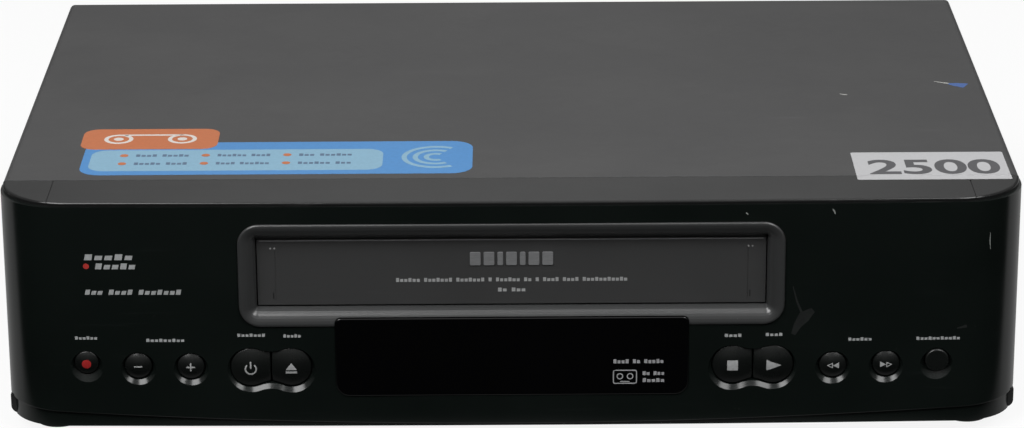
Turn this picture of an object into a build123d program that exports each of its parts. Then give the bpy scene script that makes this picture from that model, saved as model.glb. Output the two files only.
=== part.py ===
from build123d import *
import math
import os

# Video cassette recorder. Millimetres, +X to the viewer's right, +Y to the back, +Z up.
# The origin is the middle of the machine's box, on the surface that its feet stand on.

# ---- case ----
width = 380.0
height = 94.0
body_depth = 260.0          # display window to rear panel
socket_reach = 8.0          # aerial sockets behind the rear panel
foot_height = 5.0
panel_depth = 28.0          # front panel, from its face back to the cover's seam
cover_wall = 0.8
cover_bend = 2.4            # outer radius of the cover's two long bends
cover_drop = 0.15           # the cover's top lies below the trim's top
cover_flange = 12.0         # folded down inside the rear panel
rear_wall = 1.2
fit_gap = 0.3               # between pieces that are fitted together

# ---- front panel ----
panel_wall = 2.5
panel_corner = 22.0         # plan radius of the two front corners
face_bow = 2.2              # how far the face curves back at its ends
window_stand = 0.4          # the display window stands proud of the face
skirt_inset = 1.0
skirt_rise = 6.4            # the skirt's top edge climbs this far towards the ends
skirt_middle = 1.1          # the skirt's height at the middle
rim_height = 7.4            # the base frame's edge below the cover
boss_side = 40.0            # bosses for the front board, in from the case side
boss_margin = 6.0           # and beside the display window
boss_high = 46.0
boss_low = 14.0
trim_height = 1.7
trim_corner = 26.0
trim_inset = 0.4
trim_split = 170.5          # two fine joints across the top trim
trim_joint = 0.4
trim_groove = 0.8           # open seam between the trim and the cover
trim_groove_depth = 1.2
skirt_lip = 0.35            # rounding of the face's lower edge, above the skirt

# ---- cassette and its slot ----
cassette_width = 188.0
cassette_height = 25.0
slot_side_play = 0.5
slot_play = 2.2             # cassette to the slot's top and bottom together
slot_drop = 14.9            # case top to slot top
bezel_side = 6.5            # width of the bezel's band at the sides
bezel_top = 6.4
bezel_bottom = 6.7
bezel_corner = 8.0
bezel_stand = 0.3           # the bezel's crest is proud of the face
bezel_recess = 4.7          # crest to the back of the bezel's band
bezel_crest = 1.3           # flat crest before the band curves inwards
bezel_crest_corner = 6.0    # rounding of the crest's inner edge
slot_corner = 0.5
bezel_curve = (10, 84)      # degrees of a quarter round that the band follows
bezel_facets = 8
bezel_sleeve = 2.5
bezel_ear_depth = 5.0
flap_play = 0.4
flap_thickness = 2.2
flap_step = 1.1             # its top is thinner, below and behind the bezel
flap_step_drop = 1.0
flap_edge = 0.45            # rounding of the step's edge
flap_overlap = 3.5          # flap behind the bezel's top band
flap_pin_radius = 1.2
flap_barrel = 1.7
running = 0.05              # radial play of a shaft in its bearing
spring_wire = 0.25
spring_play = 0.12
spring_turns = 4

# ---- display window ----
window_half = 65.5
window_bottom = 17.7
window_lap = 3.3            # the window covers this much of the bezel's bottom
window_thickness = 1.5
window_corner = 5.0
window_top_corner = 2.0
window_rebate = 4.0         # how far the window lies on the panel all round

# ---- buttons: side to side place, height, radius ----
round_buttons = {
    "record_button": (-158.4, 31.0, 4.4),
    "programme_down_button": (-139.2, 29.6, 5.05),
    "programme_up_button": (-119.6, 29.4, 5.05),
    "rewind_button": (119.4, 28.6, 5.05),
    "forward_button": (139.3, 28.8, 5.05),
    "autoinstall_button": (158.2, 30.2, 4.4),
}
twin_buttons = {
    ("standby_button", "eject_button"): (-89.7, 29.0),
    ("stop_button", "play_button"): (89.6, 29.0),
}
twin_radius = 7.5
twin_pitch = 15.1
twin_waist = 6.0            # half the height where the two lobes meet
twin_split = 0.5
button_gap = 0.35
button_stand = 0.85         # dome tip in front of the face
button_travel = 1.0
button_dome = 9.5           # radius of the small domes
twin_dome = 19.0
button_flange = 1.0
stem_radius = 2.0
switch_height = 4.0
sleeve_wall = 1.2
sleeve_length = 4.7
dish_grow = 1.9
dish_shift = 1.4            # the scoop round a button sits lower than the button
deep_dish = {"record_button": 1.1, "autoinstall_button": 1.1}  # and lower still round these
dish_depth = 1.2
dish_floor = 0.1            # flat floor of the scoop outside the button's hole
dish_floor_shift = 0.35

# ---- base, plates and boards ----
base_floor = 3.0
base_wall = 2.5
base_round = 3.0
bottom_sheet = 1.0
ring_width = 32.0           # floor left at the sides of the bottom opening
ring_ends = 14.0            # and at its front and back
plate_lap = 5.0             # bottom plate over that floor
vent_margin = 9.0
vent_rows = 9
vent_pitch = 9.0
vent_slot = 3.0
board_height = 13.0         # underside of the main board
board_thick = 1.6
board_margin = 3.0          # board in front of the deck's front posts
power_front = 40.0          # cover's front edge back to the power board
capacitor_front = 66.0      # to the smoothing capacitor
sink_front = 94.0           # to the heat sink
transformer_back = 62.0     # rear panel forward to the transformer
transformer_half = 21.0
transformer_reach = 17.0    # half its depth
transformer_height = 38.0
transformer_limb = 7.0      # thickness of the iron round the winding
winding_reach = 23.0
capacitor_radius = 11.0
capacitor_height = 32.0
sink_half = 24.0
sink_height = 34.0
sink_plate = 2.0
sink_fins = 9
sink_fin = 1.2
sink_fin_reach = 14.0
switch_half = 3.0
switch_body = 3.5
rib_half = 7.0
foot_radius = 9.0
foot_side = 18.0            # foot centre to the case side
foot_front = 22.0           # foot centre to the front
foot_back = 30.0
screw_head = 3.0
screw_head_height = 1.6
screw_shank = 1.4

# ---- cassette mechanism ----
deck_sheet = 1.5
deck_height = 28.0          # deck surface
deck_half = 106.0
deck_clear = 19.0           # deck behind the front board
deck_back = 78.0            # deck's back edge, from the loaded cassette's inner edge
socket_room = 27.8          # between the deck and the rear panel
post_inset = 5.0
post_radius = 3.5
drum_back = 39.0
drum_radius = 31.0
drum_tilt = 5.96
drum_base_height = 18.0
head_drum_height = 20.0
drum_gap = 0.3
drum_shaft = 3.0
capstan_x = 60.0
capstan_back = 9.0
capstan_radius = 2.0
flywheel_radius = 21.0
flywheel_height = 4.0
pulley_radius = 8.0
pulley_flange = 1.8
clutch_pulley_radius = 12.0
belt_thick = 1.0
belt_height = 1.2
pinch_roller_radius = 7.0
pinch_roller_height = 17.0
pinch_pivot_x = 80.0
pinch_pivot_back = -5.0
pinch_swing = 28.0
tension_pivot_x = -78.0
tension_pivot_front = 23.0
reel_spacing = 92.0
reel_front = 58.0           # reels ahead of the cassette's inner edge
gear_module = 0.8
reel_teeth = 42
clutch_teeth = 23
idler_teeth = 30
cam_teeth = 45
pinion_teeth = 9
gear_height = 2.4
clutch_front = 43.0
spindle_radius = 5.0
spindle_height = 15.0
axle_radius = 2.0
guide_x = 40.0
guide_start = -15.0
guide_travel = 62.0
guide_post = 52.0           # height of the tape guides' tops
cam_x = -72.0
cam_back = 58.0
carriage_drop = 20.6
carriage_depth = 55.0
carriage_wall = 1.0
carriage_start = 39.5       # front of the case to the carriage
carriage_stop = 3.0         # its back edge behind the loaded cassette's inner edge
carriage_pin = 1.5
runner_gap = 0.3
rail_sheet = 1.2
rail_tab = 5.0

# ---- rear sockets ----
scart_width = 48.0
scart_height = 17.0
scart_x = -80.0
scart_pitch = 21.0
aerial_radius = 4.75
aerial_pitch = 24.0
aerial_x = -146.0
aerial_height = 20.0        # above the main board
tuner_height = 30.0
tuner_depth = 44.0
tuner_lid_inset = 3.0
mains_x = 150.0
mains_height = 32.0
mains_pin_pitch = 8.6

# ---- worked out from the sizes above ----
half = width / 2
front_y = -(body_depth + socket_reach) / 2
face_y = front_y + window_stand
rear_y = front_y + body_depth
seam_y = front_y + panel_depth
floor_z = foot_height
trim_z = height - trim_height
slot_top = height - slot_drop
slot_bottom = slot_top - cassette_height - slot_play
slot_half = cassette_width / 2 + slot_side_play
window_top = slot_bottom - bezel_bottom + window_lap
cover_top = height - cover_drop
cover_end_z = floor_z + rim_height + fit_gap
rim_front_y = seam_y - 11.7
base_top = floor_z + base_floor
board_top = board_height + board_thick
aerial_z = board_top + aerial_height
front_board_y = seam_y - 12.6
guide_back_y = face_y + panel_wall + sleeve_length
flange_y = guide_back_y + 0.2
stem_end_y = front_board_y - switch_height - button_travel - 0.1
inner_back = rear_y - rear_wall
mech_y = inner_back - socket_room - deck_back
carriage_y = front_y + carriage_start
carriage_travel = mech_y + carriage_stop - carriage_y - carriage_depth
deck_under = deck_height - deck_sheet
deck_front_y = front_board_y + board_thick + deck_clear
deck_back_y = mech_y + deck_back
drum_y = mech_y + drum_back
capstan_y = mech_y + capstan_back
reel_y = mech_y - reel_front
clutch_y = mech_y - clutch_front
cam_y = mech_y + cam_back
pinch_pivot_y = mech_y + pinch_pivot_back
tension_pivot_y = mech_y - tension_pivot_front
gear_z = deck_height + 1.2
belt_z = deck_under - 4.9
post_x = deck_half - post_inset
post_front_y = deck_front_y + post_inset + 1
post_back_y = deck_back_y - post_inset - 1
power_x = deck_half + fit_gap


# ---- helpers ----
def block(x0, x1, y0, y1, z0, z1):
    """Box between two corners."""
    return Pos((x0 + x1) / 2, (y0 + y1) / 2, (z0 + z1) / 2) * Box(x1 - x0, y1 - y0, z1 - z0)


def post(x, y, z0, z1, radius):
    """Upright round bar."""
    return Pos(x, y, (z0 + z1) / 2) * Cylinder(radius, z1 - z0)


def bar_y(x, z, y0, y1, radius):
    """Round bar from front to back."""
    return Pos(x, (y0 + y1) / 2, z) * Rot(90, 0, 0) * Cylinder(radius, y1 - y0)


def bar_x(y, z, x0, x1, radius):
    """Round bar from side to side."""
    return Pos((x0 + x1) / 2, y, z) * Rot(0, 90, 0) * Cylinder(radius, x1 - x0)


def upright(y):
    """Plane that faces the front: drawn across in x and up in z."""
    return Plane(origin=(0, y, 0), x_dir=(1, 0, 0), z_dir=(0, -1, 0))


def prism(outline, y0, y1):
    """Outline drawn in x and z, carried from y0 back to y1."""
    return extrude(upright(y1) * outline, amount=y1 - y0)


def plate(outline, z0, z1):
    """Outline drawn in x and y, carried from z0 up to z1."""
    return extrude(Plane.XY.offset(z0) * outline, amount=z1 - z0)


def both_sides(piece):
    """The piece and its mirror image across the middle of the case."""
    return piece + mirror(piece, about=Plane.YZ)


def face_at(x):
    """Front of the bowed face at a distance from the middle."""
    return face_y + face_bow * (x / half) ** 2


def case_plan(inset, corner, back):
    """Plan of the front: straight sides, round corners and a bowed face."""
    side = half - inset
    ends_y = face_y + face_bow + inset
    sides = Polyline((side, ends_y), (side, back), (-side, back), (-side, ends_y))
    bow = ThreePointArc((-side, ends_y), (0, face_y + inset), (side, ends_y))
    plan = make_face([*sides.edges(), bow.edge()])
    return fillet(plan.vertices().group_by(Axis.Y)[0], corner - inset)


def twin_outline(grow):
    """Two round lobes joined by a hollow waist, drawn about their middle."""
    lobe_x = twin_pitch / 2
    hollow = (lobe_x ** 2 + twin_waist ** 2 - twin_radius ** 2) / (2 * (twin_radius - twin_waist))
    centre_z = twin_waist + hollow
    lobe = twin_radius + grow
    share = lobe / (twin_radius + hollow)
    touch_x = lobe_x * (1 - share)
    touch_z = centre_z * share
    waist = twin_waist + grow
    right = ThreePointArc((touch_x, touch_z), (lobe_x + lobe, 0), (touch_x, -touch_z))
    below = ThreePointArc((touch_x, -touch_z), (0, -waist), (-touch_x, -touch_z))
    left = ThreePointArc((-touch_x, -touch_z), (-lobe_x - lobe, 0), (-touch_x, touch_z))
    above = ThreePointArc((-touch_x, touch_z), (0, waist), (touch_x, touch_z))
    return make_face([right.edge(), below.edge(), left.edge(), above.edge()])


def scoop(narrow, wide, x, z, extra=0.0):
    """Sloping cut round a button, wider and lower at the face than at its floor."""
    face = face_at(x)
    mouth = upright(face - 0.6) * Pos(x, z - dish_shift - extra) * wide
    floor = upright(face + dish_depth) * Pos(x, z - dish_floor_shift) * narrow
    return loft([mouth, floor])


def gear_outline(teeth, turn=0.0):
    """Spur gear with straight flanks and generous backlash; turn in radians."""
    step = 2 * math.pi / teeth
    pitch = teeth * gear_module / 2
    root = pitch - 1.1 * gear_module
    tip = pitch + 0.8 * gear_module
    points = []
    for tooth in range(teeth):
        middle = turn + tooth * step
        for radius, share in ((root, -0.3), (tip, -0.13), (tip, 0.13), (root, 0.3)):
            angle = middle + share * step
            points.append((radius * math.cos(angle), radius * math.sin(angle)))
    return make_face(Polyline(*points, close=True))


def mesh_turn(turn, teeth, from_xy, to_xy, next_teeth):
    """Turn that puts the next gear's teeth in the first gear's gaps."""
    line = math.atan2(to_xy[1] - from_xy[1], to_xy[0] - from_xy[0])
    return line + math.pi + math.pi / next_teeth + (line - turn) * teeth / next_teeth


# ---- front ----
def window_outline(grow):
    """Display window: round lower corners, nearly square upper ones."""
    tall = window_top - window_bottom + 2 * grow
    outline = Rectangle(2 * (window_half + grow), tall)
    outline = fillet(outline.vertices().group_by(Axis.Y)[0], window_corner + grow)
    outline = fillet(outline.vertices().group_by(Axis.Y)[-1], window_top_corner + grow)
    return Pos(0, (window_top + window_bottom) / 2) * outline


def bezel_outline(grow):
    """Outer edge of the bezel round the cassette slot."""
    top = slot_top + bezel_top + grow
    bottom = slot_bottom - bezel_bottom - grow
    side = slot_half + bezel_side + grow
    return Pos(0, (top + bottom) / 2) * RectangleRounded(2 * side, top - bottom, bezel_corner + grow)


def make_front_panel():
    top = trim_z
    full = plate(case_plan(0, panel_corner, seam_y), floor_z, top)
    skirt = plate(case_plan(skirt_inset, panel_corner, seam_y), floor_z, top)
    side_z = floor_z + skirt_middle + skirt_rise
    ends = Polyline((half + 1, side_z), (half + 1, top + 1), (-half - 1, top + 1), (-half - 1, side_z))
    smile = ThreePointArc((-half - 1, side_z), (0, floor_z + skirt_middle), (half + 1, side_z))
    glossy = prism(make_face([*ends.edges(), smile.edge()]), front_y - 1, seam_y + 1)
    face = full & glossy
    face = fillet(face.edges().filter_by(GeomType.BSPLINE), skirt_lip)
    panel = skirt + face
    hollow = case_plan(panel_wall, panel_corner, seam_y + 1)
    panel -= plate(hollow, floor_z - 1, top - panel_wall)
    side_gap = block(half - 6, half + 1, rim_front_y - fit_gap, seam_y + 1, floor_z - 1, side_z)
    panel -= both_sides(side_gap)
    for x, z, radius in round_buttons.values():
        panel += Pos(x, 0, z) * sleeve(Circle(radius + button_gap + sleeve_wall), x)
    for x, z in twin_buttons.values():
        panel += Pos(x, 0, z) * sleeve(twin_outline(button_gap + sleeve_wall), x)
    for x, z in boss_places():
        boss = bar_y(x, z, face_at(x) + 0.6 * panel_wall, front_board_y, 2.5)
        panel += both_sides(boss)
    bezel_hole = prism(bezel_outline(0.2), front_y - 1, face_y + 2 * panel_wall)
    pocket_back = front_y + window_thickness + 0.1
    pocket = prism(window_outline(0.2), front_y - 1, pocket_back)
    tall = slot_bottom - bezel_bottom - 1.8 - (window_bottom + window_rebate)
    light = Pos(0, window_bottom + window_rebate + tall / 2)
    light *= RectangleRounded(2 * (window_half - window_rebate), tall, 2.0)
    panel -= bezel_hole + pocket + prism(light, front_y - 1, face_y + 2 * panel_wall)
    for name, (x, z, radius) in round_buttons.items():
        hole = Circle(radius + button_gap)
        panel -= Pos(x, 0, z) * prism(hole, front_y - 1, front_board_y)
        floor = Circle(radius + button_gap + dish_floor)
        extra = deep_dish.get(name, 0.0)
        panel -= scoop(floor, Circle(radius + dish_grow + extra / 3), x, z, extra)
    for x, z in twin_buttons.values():
        hole = twin_outline(button_gap)
        panel -= Pos(x, 0, z) * prism(hole, front_y - 1, front_board_y)
        floor = twin_outline(button_gap + dish_floor)
        panel -= scoop(floor, twin_outline(dish_grow), x, z)
    return panel


def boss_places():
    """Bosses behind the face that hold the front board, on the right half."""
    side = half - boss_side
    return ((side, boss_high), (side, boss_low), (window_half + boss_margin, boss_low))


def sleeve(outline, x):
    """Guide behind the face that a button slides in, drawn about its middle."""
    return prism(outline, face_at(x) + 0.5 * panel_wall, guide_back_y)


def finish_button(x, z, cap, flange):
    """Cap with its flange and stem; cap and flange are in place already."""
    return cap + flange + bar_y(x, z, flange_y + 0.1, stem_end_y, stem_radius)


def make_round_button(name):
    x, z, radius = round_buttons[name]
    tip = face_at(x) - button_stand
    back = flange_y
    if name == "autoinstall_button":
        cap = bar_y(x, z, tip, back + 0.1, radius)
        cap = fillet(cap.edges().sort_by(Axis.Y)[0], 0.7)
    else:
        drop = button_dome - math.sqrt(button_dome ** 2 - radius ** 2)
        low = button_dome - math.sqrt(button_dome ** 2 - radius ** 2 / 4)
        crown = ThreePointArc((0, tip), (radius / 2, tip + low), (radius, tip + drop))
        side = Polyline((radius, tip + drop), (radius, back + 0.1), (0, back + 0.1), (0, tip))
        half_cap = make_face([crown.edge(), *side.edges()])
        rim = half_cap.vertices().sort_by_distance((radius, tip + drop))[0]
        cap = Pos(x, 0, z) * revolve(fillet(rim, 0.5), Axis.Y)
    flange = bar_y(x, z, back, back + button_flange, radius + button_flange)
    return finish_button(x, z, cap, flange)


def make_twin_button(x, z, side):
    """One half of a twin; side is -1 for the left lobe and 1 for the right one."""
    lobe = x + side * twin_pitch / 2
    tip = face_at(x) - button_stand
    back = flange_y
    wide = 2 * (twin_pitch + twin_radius)
    keep = Pos(side * (wide / 2 + twin_split / 2), 0) * Rectangle(wide, wide)
    cap = Pos(x, 0, z) * prism(twin_outline(0) & keep, tip, back + 0.1)
    dome = Pos(lobe, tip + twin_dome, z) * Sphere(twin_dome)
    dome += Pos(lobe, tip + twin_dome + 20, z) * Rot(90, 0, 0) * Cylinder(twin_dome, 40)
    cap &= dome
    front = cap.edges().filter_by(lambda edge: edge.center().Y < tip + 3)
    cap = fillet(front, 0.5)
    flange = Pos(x, 0, z) * prism(twin_outline(button_flange) & keep, back, back + button_flange)
    return finish_button(lobe, z, cap, flange)


def make_top_trim():
    trim = plate(case_plan(trim_inset, trim_corner, seam_y + trim_corner), trim_z, height)
    trim -= block(-half, half, seam_y, seam_y + 2 * trim_corner, trim_z - 1, height + 1)
    rim = trim.edges().group_by(Axis.Z)[-1].filter_by(lambda edge: edge.center().Y < seam_y - 0.01)
    trim = fillet(rim, 1.0)
    joint = block(trim_split, trim_split + trim_joint, front_y - 1, seam_y + 1, height - 0.5, height + 1)
    lip_back = face_y + face_bow + 0.5
    joint += block(trim_split, trim_split + trim_joint, front_y - 1, lip_back, trim_z, height)
    groove_y = seam_y - trim_groove
    trim -= block(-half, half, groove_y, seam_y + 1, height - trim_groove_depth, height + 1)
    return trim - both_sides(joint)


def make_display_window():
    window = prism(window_outline(0), front_y, front_y + window_thickness)
    return fillet(window.edges().group_by(Axis.Y)[0], 0.4)


def slot_outline(share):
    """Opening in the bezel: the slot at share 0, the crest's inner edge at share 1."""
    side = slot_half + share * (bezel_side - bezel_crest)
    top = slot_top + share * (bezel_top - bezel_crest)
    bottom = slot_bottom - share * (bezel_bottom - bezel_crest)
    corner = slot_corner + share * (bezel_crest_corner - slot_corner)
    return Pos(0, (top + bottom) / 2) * RectangleRounded(2 * side, top - bottom, corner)


def bezel_sections(crest):
    """The opening at several depths, so that its edge rolls over from the crest."""
    first, last = (math.radians(angle) for angle in bezel_curve)
    sections = []
    for step in range(bezel_facets + 1):
        angle = first + (last - first) * step / bezel_facets
        share = (math.sin(last) - math.sin(angle)) / (math.sin(last) - math.sin(first))
        depth = (math.cos(first) - math.cos(angle)) / (math.cos(first) - math.cos(last))
        sections.append(upright(crest + bezel_recess * depth) * slot_outline(share))
    return sections


def make_cassette_bezel():
    crest = face_y - bezel_stand
    back = crest + bezel_recess
    bezel = prism(bezel_outline(0), crest, back)
    bezel = fillet(bezel.edges().group_by(Axis.Y)[0], 0.8)
    bezel -= loft(bezel_sections(crest), ruled=True)
    bezel -= prism(slot_outline(0), crest - 1, back + 1)
    ear_back = back + bezel_ear_depth
    inner = slot_half + 0.5
    pin_y, pin_z = flap_axis()
    walls = block(inner, inner + bezel_sleeve, back, ear_back, slot_bottom - 0.3, pin_z)
    walls += bar_x(pin_y, pin_z, inner, inner + bezel_sleeve, flap_pin_radius + 0.85)
    bezel += both_sides(walls)
    sill = slot_bottom - 0.3
    bezel += block(-inner - bezel_sleeve, inner + bezel_sleeve, back, ear_back, sill - bezel_sleeve, sill)
    bezel -= bar_x(pin_y, pin_z, -half, half, flap_pin_radius + running)
    notch = prism(window_outline(0.3), front_y - 1, front_y + window_thickness + 0.1)
    return bezel - notch


def flap_axis():
    """Where the flap's pins turn, in y and z."""
    flap_front = face_y - bezel_stand + bezel_recess + 0.3
    return flap_front + flap_thickness + 0.4, slot_top + flap_overlap


def make_cassette_flap():
    pin_y, pin_z = flap_axis()
    front = pin_y - 0.4 - flap_thickness
    side = slot_half - flap_play
    bottom = slot_bottom + 0.2
    flap = block(-side, side, front, front + flap_thickness, bottom, pin_z)
    flap = fillet(flap.edges().filter_by(Axis.X).group_by(Axis.Z)[0], 0.4)
    step_z = slot_top - flap_step_drop
    flap -= block(-half, half, front - 1, front + flap_step, step_z, pin_z + 1)
    flap = fillet(flap.edges().filter_by(Axis.X).sort_by_distance((0, front, step_z))[0], flap_edge)
    flap += bar_x(pin_y, pin_z, -side, side, flap_barrel)
    for x in (-side + 6.6, side - 6.8):
        flap -= block(x, x + 0.2, front - 1, front + 0.15, bottom + 2, slot_top - 3.5)
    pin_end = slot_half + 0.5 + bezel_sleeve + 3.4
    return flap + bar_x(pin_y, pin_z, -pin_end, pin_end, flap_pin_radius)


def make_flap_spring():
    pin_y, pin_z = flap_axis()
    coil = flap_pin_radius + spring_play + spring_wire
    pitch = 2.4 * spring_wire
    start = slot_half + 0.5 + bezel_sleeve + fit_gap
    path = Helix(pitch, pitch * spring_turns, coil)
    wire = Plane(path @ 0, z_dir=path % 0) * Circle(spring_wire)
    spring = sweep(wire, path, is_frenet=True)
    return Pos(start, pin_y, pin_z) * Rot(0, 90, 0) * spring


# ---- case ----
def make_top_cover():
    back = rear_y
    profile = Rectangle(2 * half, cover_top - cover_end_z)
    profile = Pos(0, (cover_top + cover_end_z) / 2) * profile
    outer = prism(profile, seam_y, back)
    outer = fillet(outer.edges().filter_by(Axis.Y).group_by(Axis.Z)[-1], cover_bend)
    inner_top = cover_top - cover_wall
    inner_end = cover_end_z - 1
    inner = Rectangle(2 * (half - cover_wall), inner_top - inner_end)
    inner = Pos(0, (inner_top + inner_end) / 2) * inner
    hollow = prism(inner, seam_y - 1, back + 1)
    hollow = fillet(hollow.edges().filter_by(Axis.Y).group_by(Axis.Z)[-1], cover_bend - cover_wall)
    cover = outer - hollow
    flange_back = inner_back - 0.1
    side = half - cover_wall - cover_bend
    flange = block(-side, side, flange_back - cover_wall, flange_back, inner_top - cover_flange, inner_top)
    cover += flange
    for row in range(8):
        y = inner_back - 30 - 6 * row
        slot = block(half - 2, half + 1, y, y + 2.5, cover_end_z + 22, cover_end_z + 52)
        cover -= both_sides(slot)
    for x in rear_screw_places():
        cover -= bar_y(x, rear_screw_z(), flange_back - 2, flange_back + 1, screw_shank + 0.1)
    return cover


def rear_screw_places():
    """Three screws across the top of the rear panel."""
    return (-(half - 20), 0, half - 20)


def rear_screw_z():
    return cover_top - cover_wall - cover_flange / 2


def scart_levels():
    """Middles of the two sockets, one above the other."""
    low = board_top + scart_height / 2 + 2
    return (low, low + scart_pitch)


def aerial_places():
    return (aerial_x - aerial_pitch / 2, aerial_x + aerial_pitch / 2)


def make_rear_panel():
    side = half - cover_wall - fit_gap
    top = cover_top - cover_wall - fit_gap
    panel = block(-side, side, inner_back, rear_y, base_top + fit_gap, top)
    panel = fillet(panel.edges().filter_by(Axis.Y).group_by(Axis.Z)[-1], cover_bend)
    for z in scart_levels():
        hole = block(-scart_width / 2 - 0.2, scart_width / 2 + 0.2, inner_back - 1, rear_y + 1,
                     z - scart_height / 2 - 0.2, z + scart_height / 2 + 0.2)
        panel -= Pos(scart_x, 0, 0) * hole
    for x in aerial_places():
        panel -= bar_y(x, aerial_z, inner_back - 1, rear_y + 1, aerial_radius + 1)
    panel -= Pos(mains_x, 0, mains_height) * prism(mains_outline(1.7), inner_back - 1, rear_y + 1)
    for x in rear_screw_places():
        panel -= bar_y(x, rear_screw_z(), inner_back - 1, rear_y + 1, screw_shank + 0.1)
    for column in range(12):
        x = mains_x - 28 + 5 * column
        panel -= block(x, x + 2.2, inner_back - 1, rear_y + 1, mains_height + 18, mains_height + 44)
    return panel


def mains_outline(grow):
    """Two-pin inlet: two round ends with a slim waist."""
    lobe = 4.2 + grow
    ends = Pos(-mains_pin_pitch / 2, 0) * Circle(lobe) + Pos(mains_pin_pitch / 2, 0) * Circle(lobe)
    return ends + Rectangle(mains_pin_pitch, 2 * (3.1 + grow))


def make_base_frame():
    rim = block(-half + 0.6, half - 0.6, rim_front_y, inner_back - fit_gap, floor_z, floor_z + rim_height)
    low = rim.edges().filter_by(Axis.Y).group_by(Axis.Z)[0]
    rim = fillet(low, base_round)
    side = half - 0.6 - base_wall
    rim -= block(-side, side, rim_front_y - 1, inner_back - base_wall, base_top, height)
    nose = plate(case_plan(panel_wall + fit_gap, panel_corner, seam_y), floor_z, base_top)
    base = rim + nose
    hole_x = half - ring_width
    hole_y0 = seam_y + ring_ends
    hole_y1 = inner_back - ring_ends
    base -= block(-hole_x, hole_x, hole_y0, hole_y1, floor_z - 1, base_top + 1)
    rebate = bottom_sheet + 0.2
    lap_x = hole_x + plate_lap
    lap_y0 = hole_y0 - plate_lap
    lap_y1 = hole_y1 + plate_lap
    base -= block(-lap_x, lap_x, lap_y0, lap_y1, floor_z - 1, floor_z + rebate)
    rib_x0 = post_x - rib_half
    rib_x1 = post_x + rib_half
    rib = block(rib_x0, rib_x1, lap_y0, lap_y1, floor_z + rebate, board_height)
    ledge = block(half - 14, half - 8, hole_y0, hole_y1, base_top - 0.1, board_height)
    posts = post(post_x, post_front_y, base_top, deck_under, post_radius)
    posts += post(post_x, post_back_y, base_top, deck_under, post_radius)
    base += both_sides(rib + ledge + posts)
    for x, y in foot_places():
        base -= post(x, y, floor_z - 1, floor_z + 2.2, 2.6)
    for x, y in bottom_screw_places():
        base -= post(x, y, floor_z, floor_z + 5, screw_shank + 0.1)
    return base


def foot_places():
    side = half - foot_side
    return [(x, y) for y in (front_y + foot_front, rear_y - foot_back) for x in (-side, side)]


def make_feet():
    feet = []
    for x, y in foot_places():
        foot = post(x, y, 0, foot_height, foot_radius)
        foot = fillet(foot.edges().group_by(Axis.Z)[0], 1.0)
        feet.append(foot + post(x, y, foot_height - 0.1, foot_height + 2, 2.5))
    return Compound(feet)


def make_bottom_plate():
    hole_x = half - ring_width + plate_lap - fit_gap
    hole_y0 = seam_y + ring_ends - plate_lap + fit_gap
    hole_y1 = inner_back - ring_ends + plate_lap - fit_gap
    sheet = block(-hole_x, hole_x, hole_y0, hole_y1, floor_z, floor_z + bottom_sheet)
    vent_x0 = post_x + rib_half + vent_margin
    vent_x1 = hole_x - vent_margin
    for row in range(vent_rows):
        y = mech_y - 10 - vent_pitch * row
        vent = block(vent_x0, vent_x1, y, y + vent_slot, floor_z - 1, floor_z + 2)
        sheet -= both_sides(vent)
    for x, y in bottom_screw_places():
        sheet -= post(x, y, floor_z - 1, floor_z + 2, screw_shank + 0.1)
    return sheet


def bottom_screw_places():
    """Screws that hold the bottom plate to the base frame's ribs."""
    ends = (seam_y + ring_ends + 6, inner_back - ring_ends - 6)
    return [(x, y) for y in ends for x in (-post_x, post_x)]


def make_case_screws():
    screws = []
    for x in rear_screw_places():
        head = bar_y(x, rear_screw_z(), rear_y, rear_y + screw_head_height, screw_head)
        head = fillet(head.edges().sort_by(Axis.Y)[-1], 0.8)
        cross = Box(0.8, 1.6, 3.4) + Box(3.4, 1.6, 0.8)
        head -= Pos(x, rear_y + screw_head_height, rear_screw_z()) * cross
        screws.append(head + bar_y(x, rear_screw_z(), rear_y - 6, rear_y + 0.1, screw_shank))
    for x, y in bottom_screw_places():
        head = post(x, y, floor_z - screw_head_height, floor_z, screw_head)
        head = fillet(head.edges().group_by(Axis.Z)[0], 0.8)
        cross = Box(0.8, 3.4, 1.6) + Box(3.4, 0.8, 1.6)
        head -= Pos(x, y, floor_z - screw_head_height) * cross
        screws.append(head + post(x, y, floor_z - 0.1, floor_z + 4.8, screw_shank))
    return Compound(screws)


# ---- boards and electronics ----
def make_main_board():
    left = -half + 8 + fit_gap
    right = post_x - post_radius - 0.5
    front = post_front_y - post_radius - board_margin
    board = block(left, right, front, inner_back - 7, board_height, board_top)
    for y in (post_front_y, post_back_y):
        board -= post(-post_x, y, board_height - 1, board_top + 1, post_radius + 0.5)
    return board


def make_power_board():
    right = half - 8 - fit_gap
    return block(power_x, right, seam_y + power_front, inner_back - 7, board_height, board_top)


def power_middle():
    return (power_x + half - 8) / 2


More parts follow.
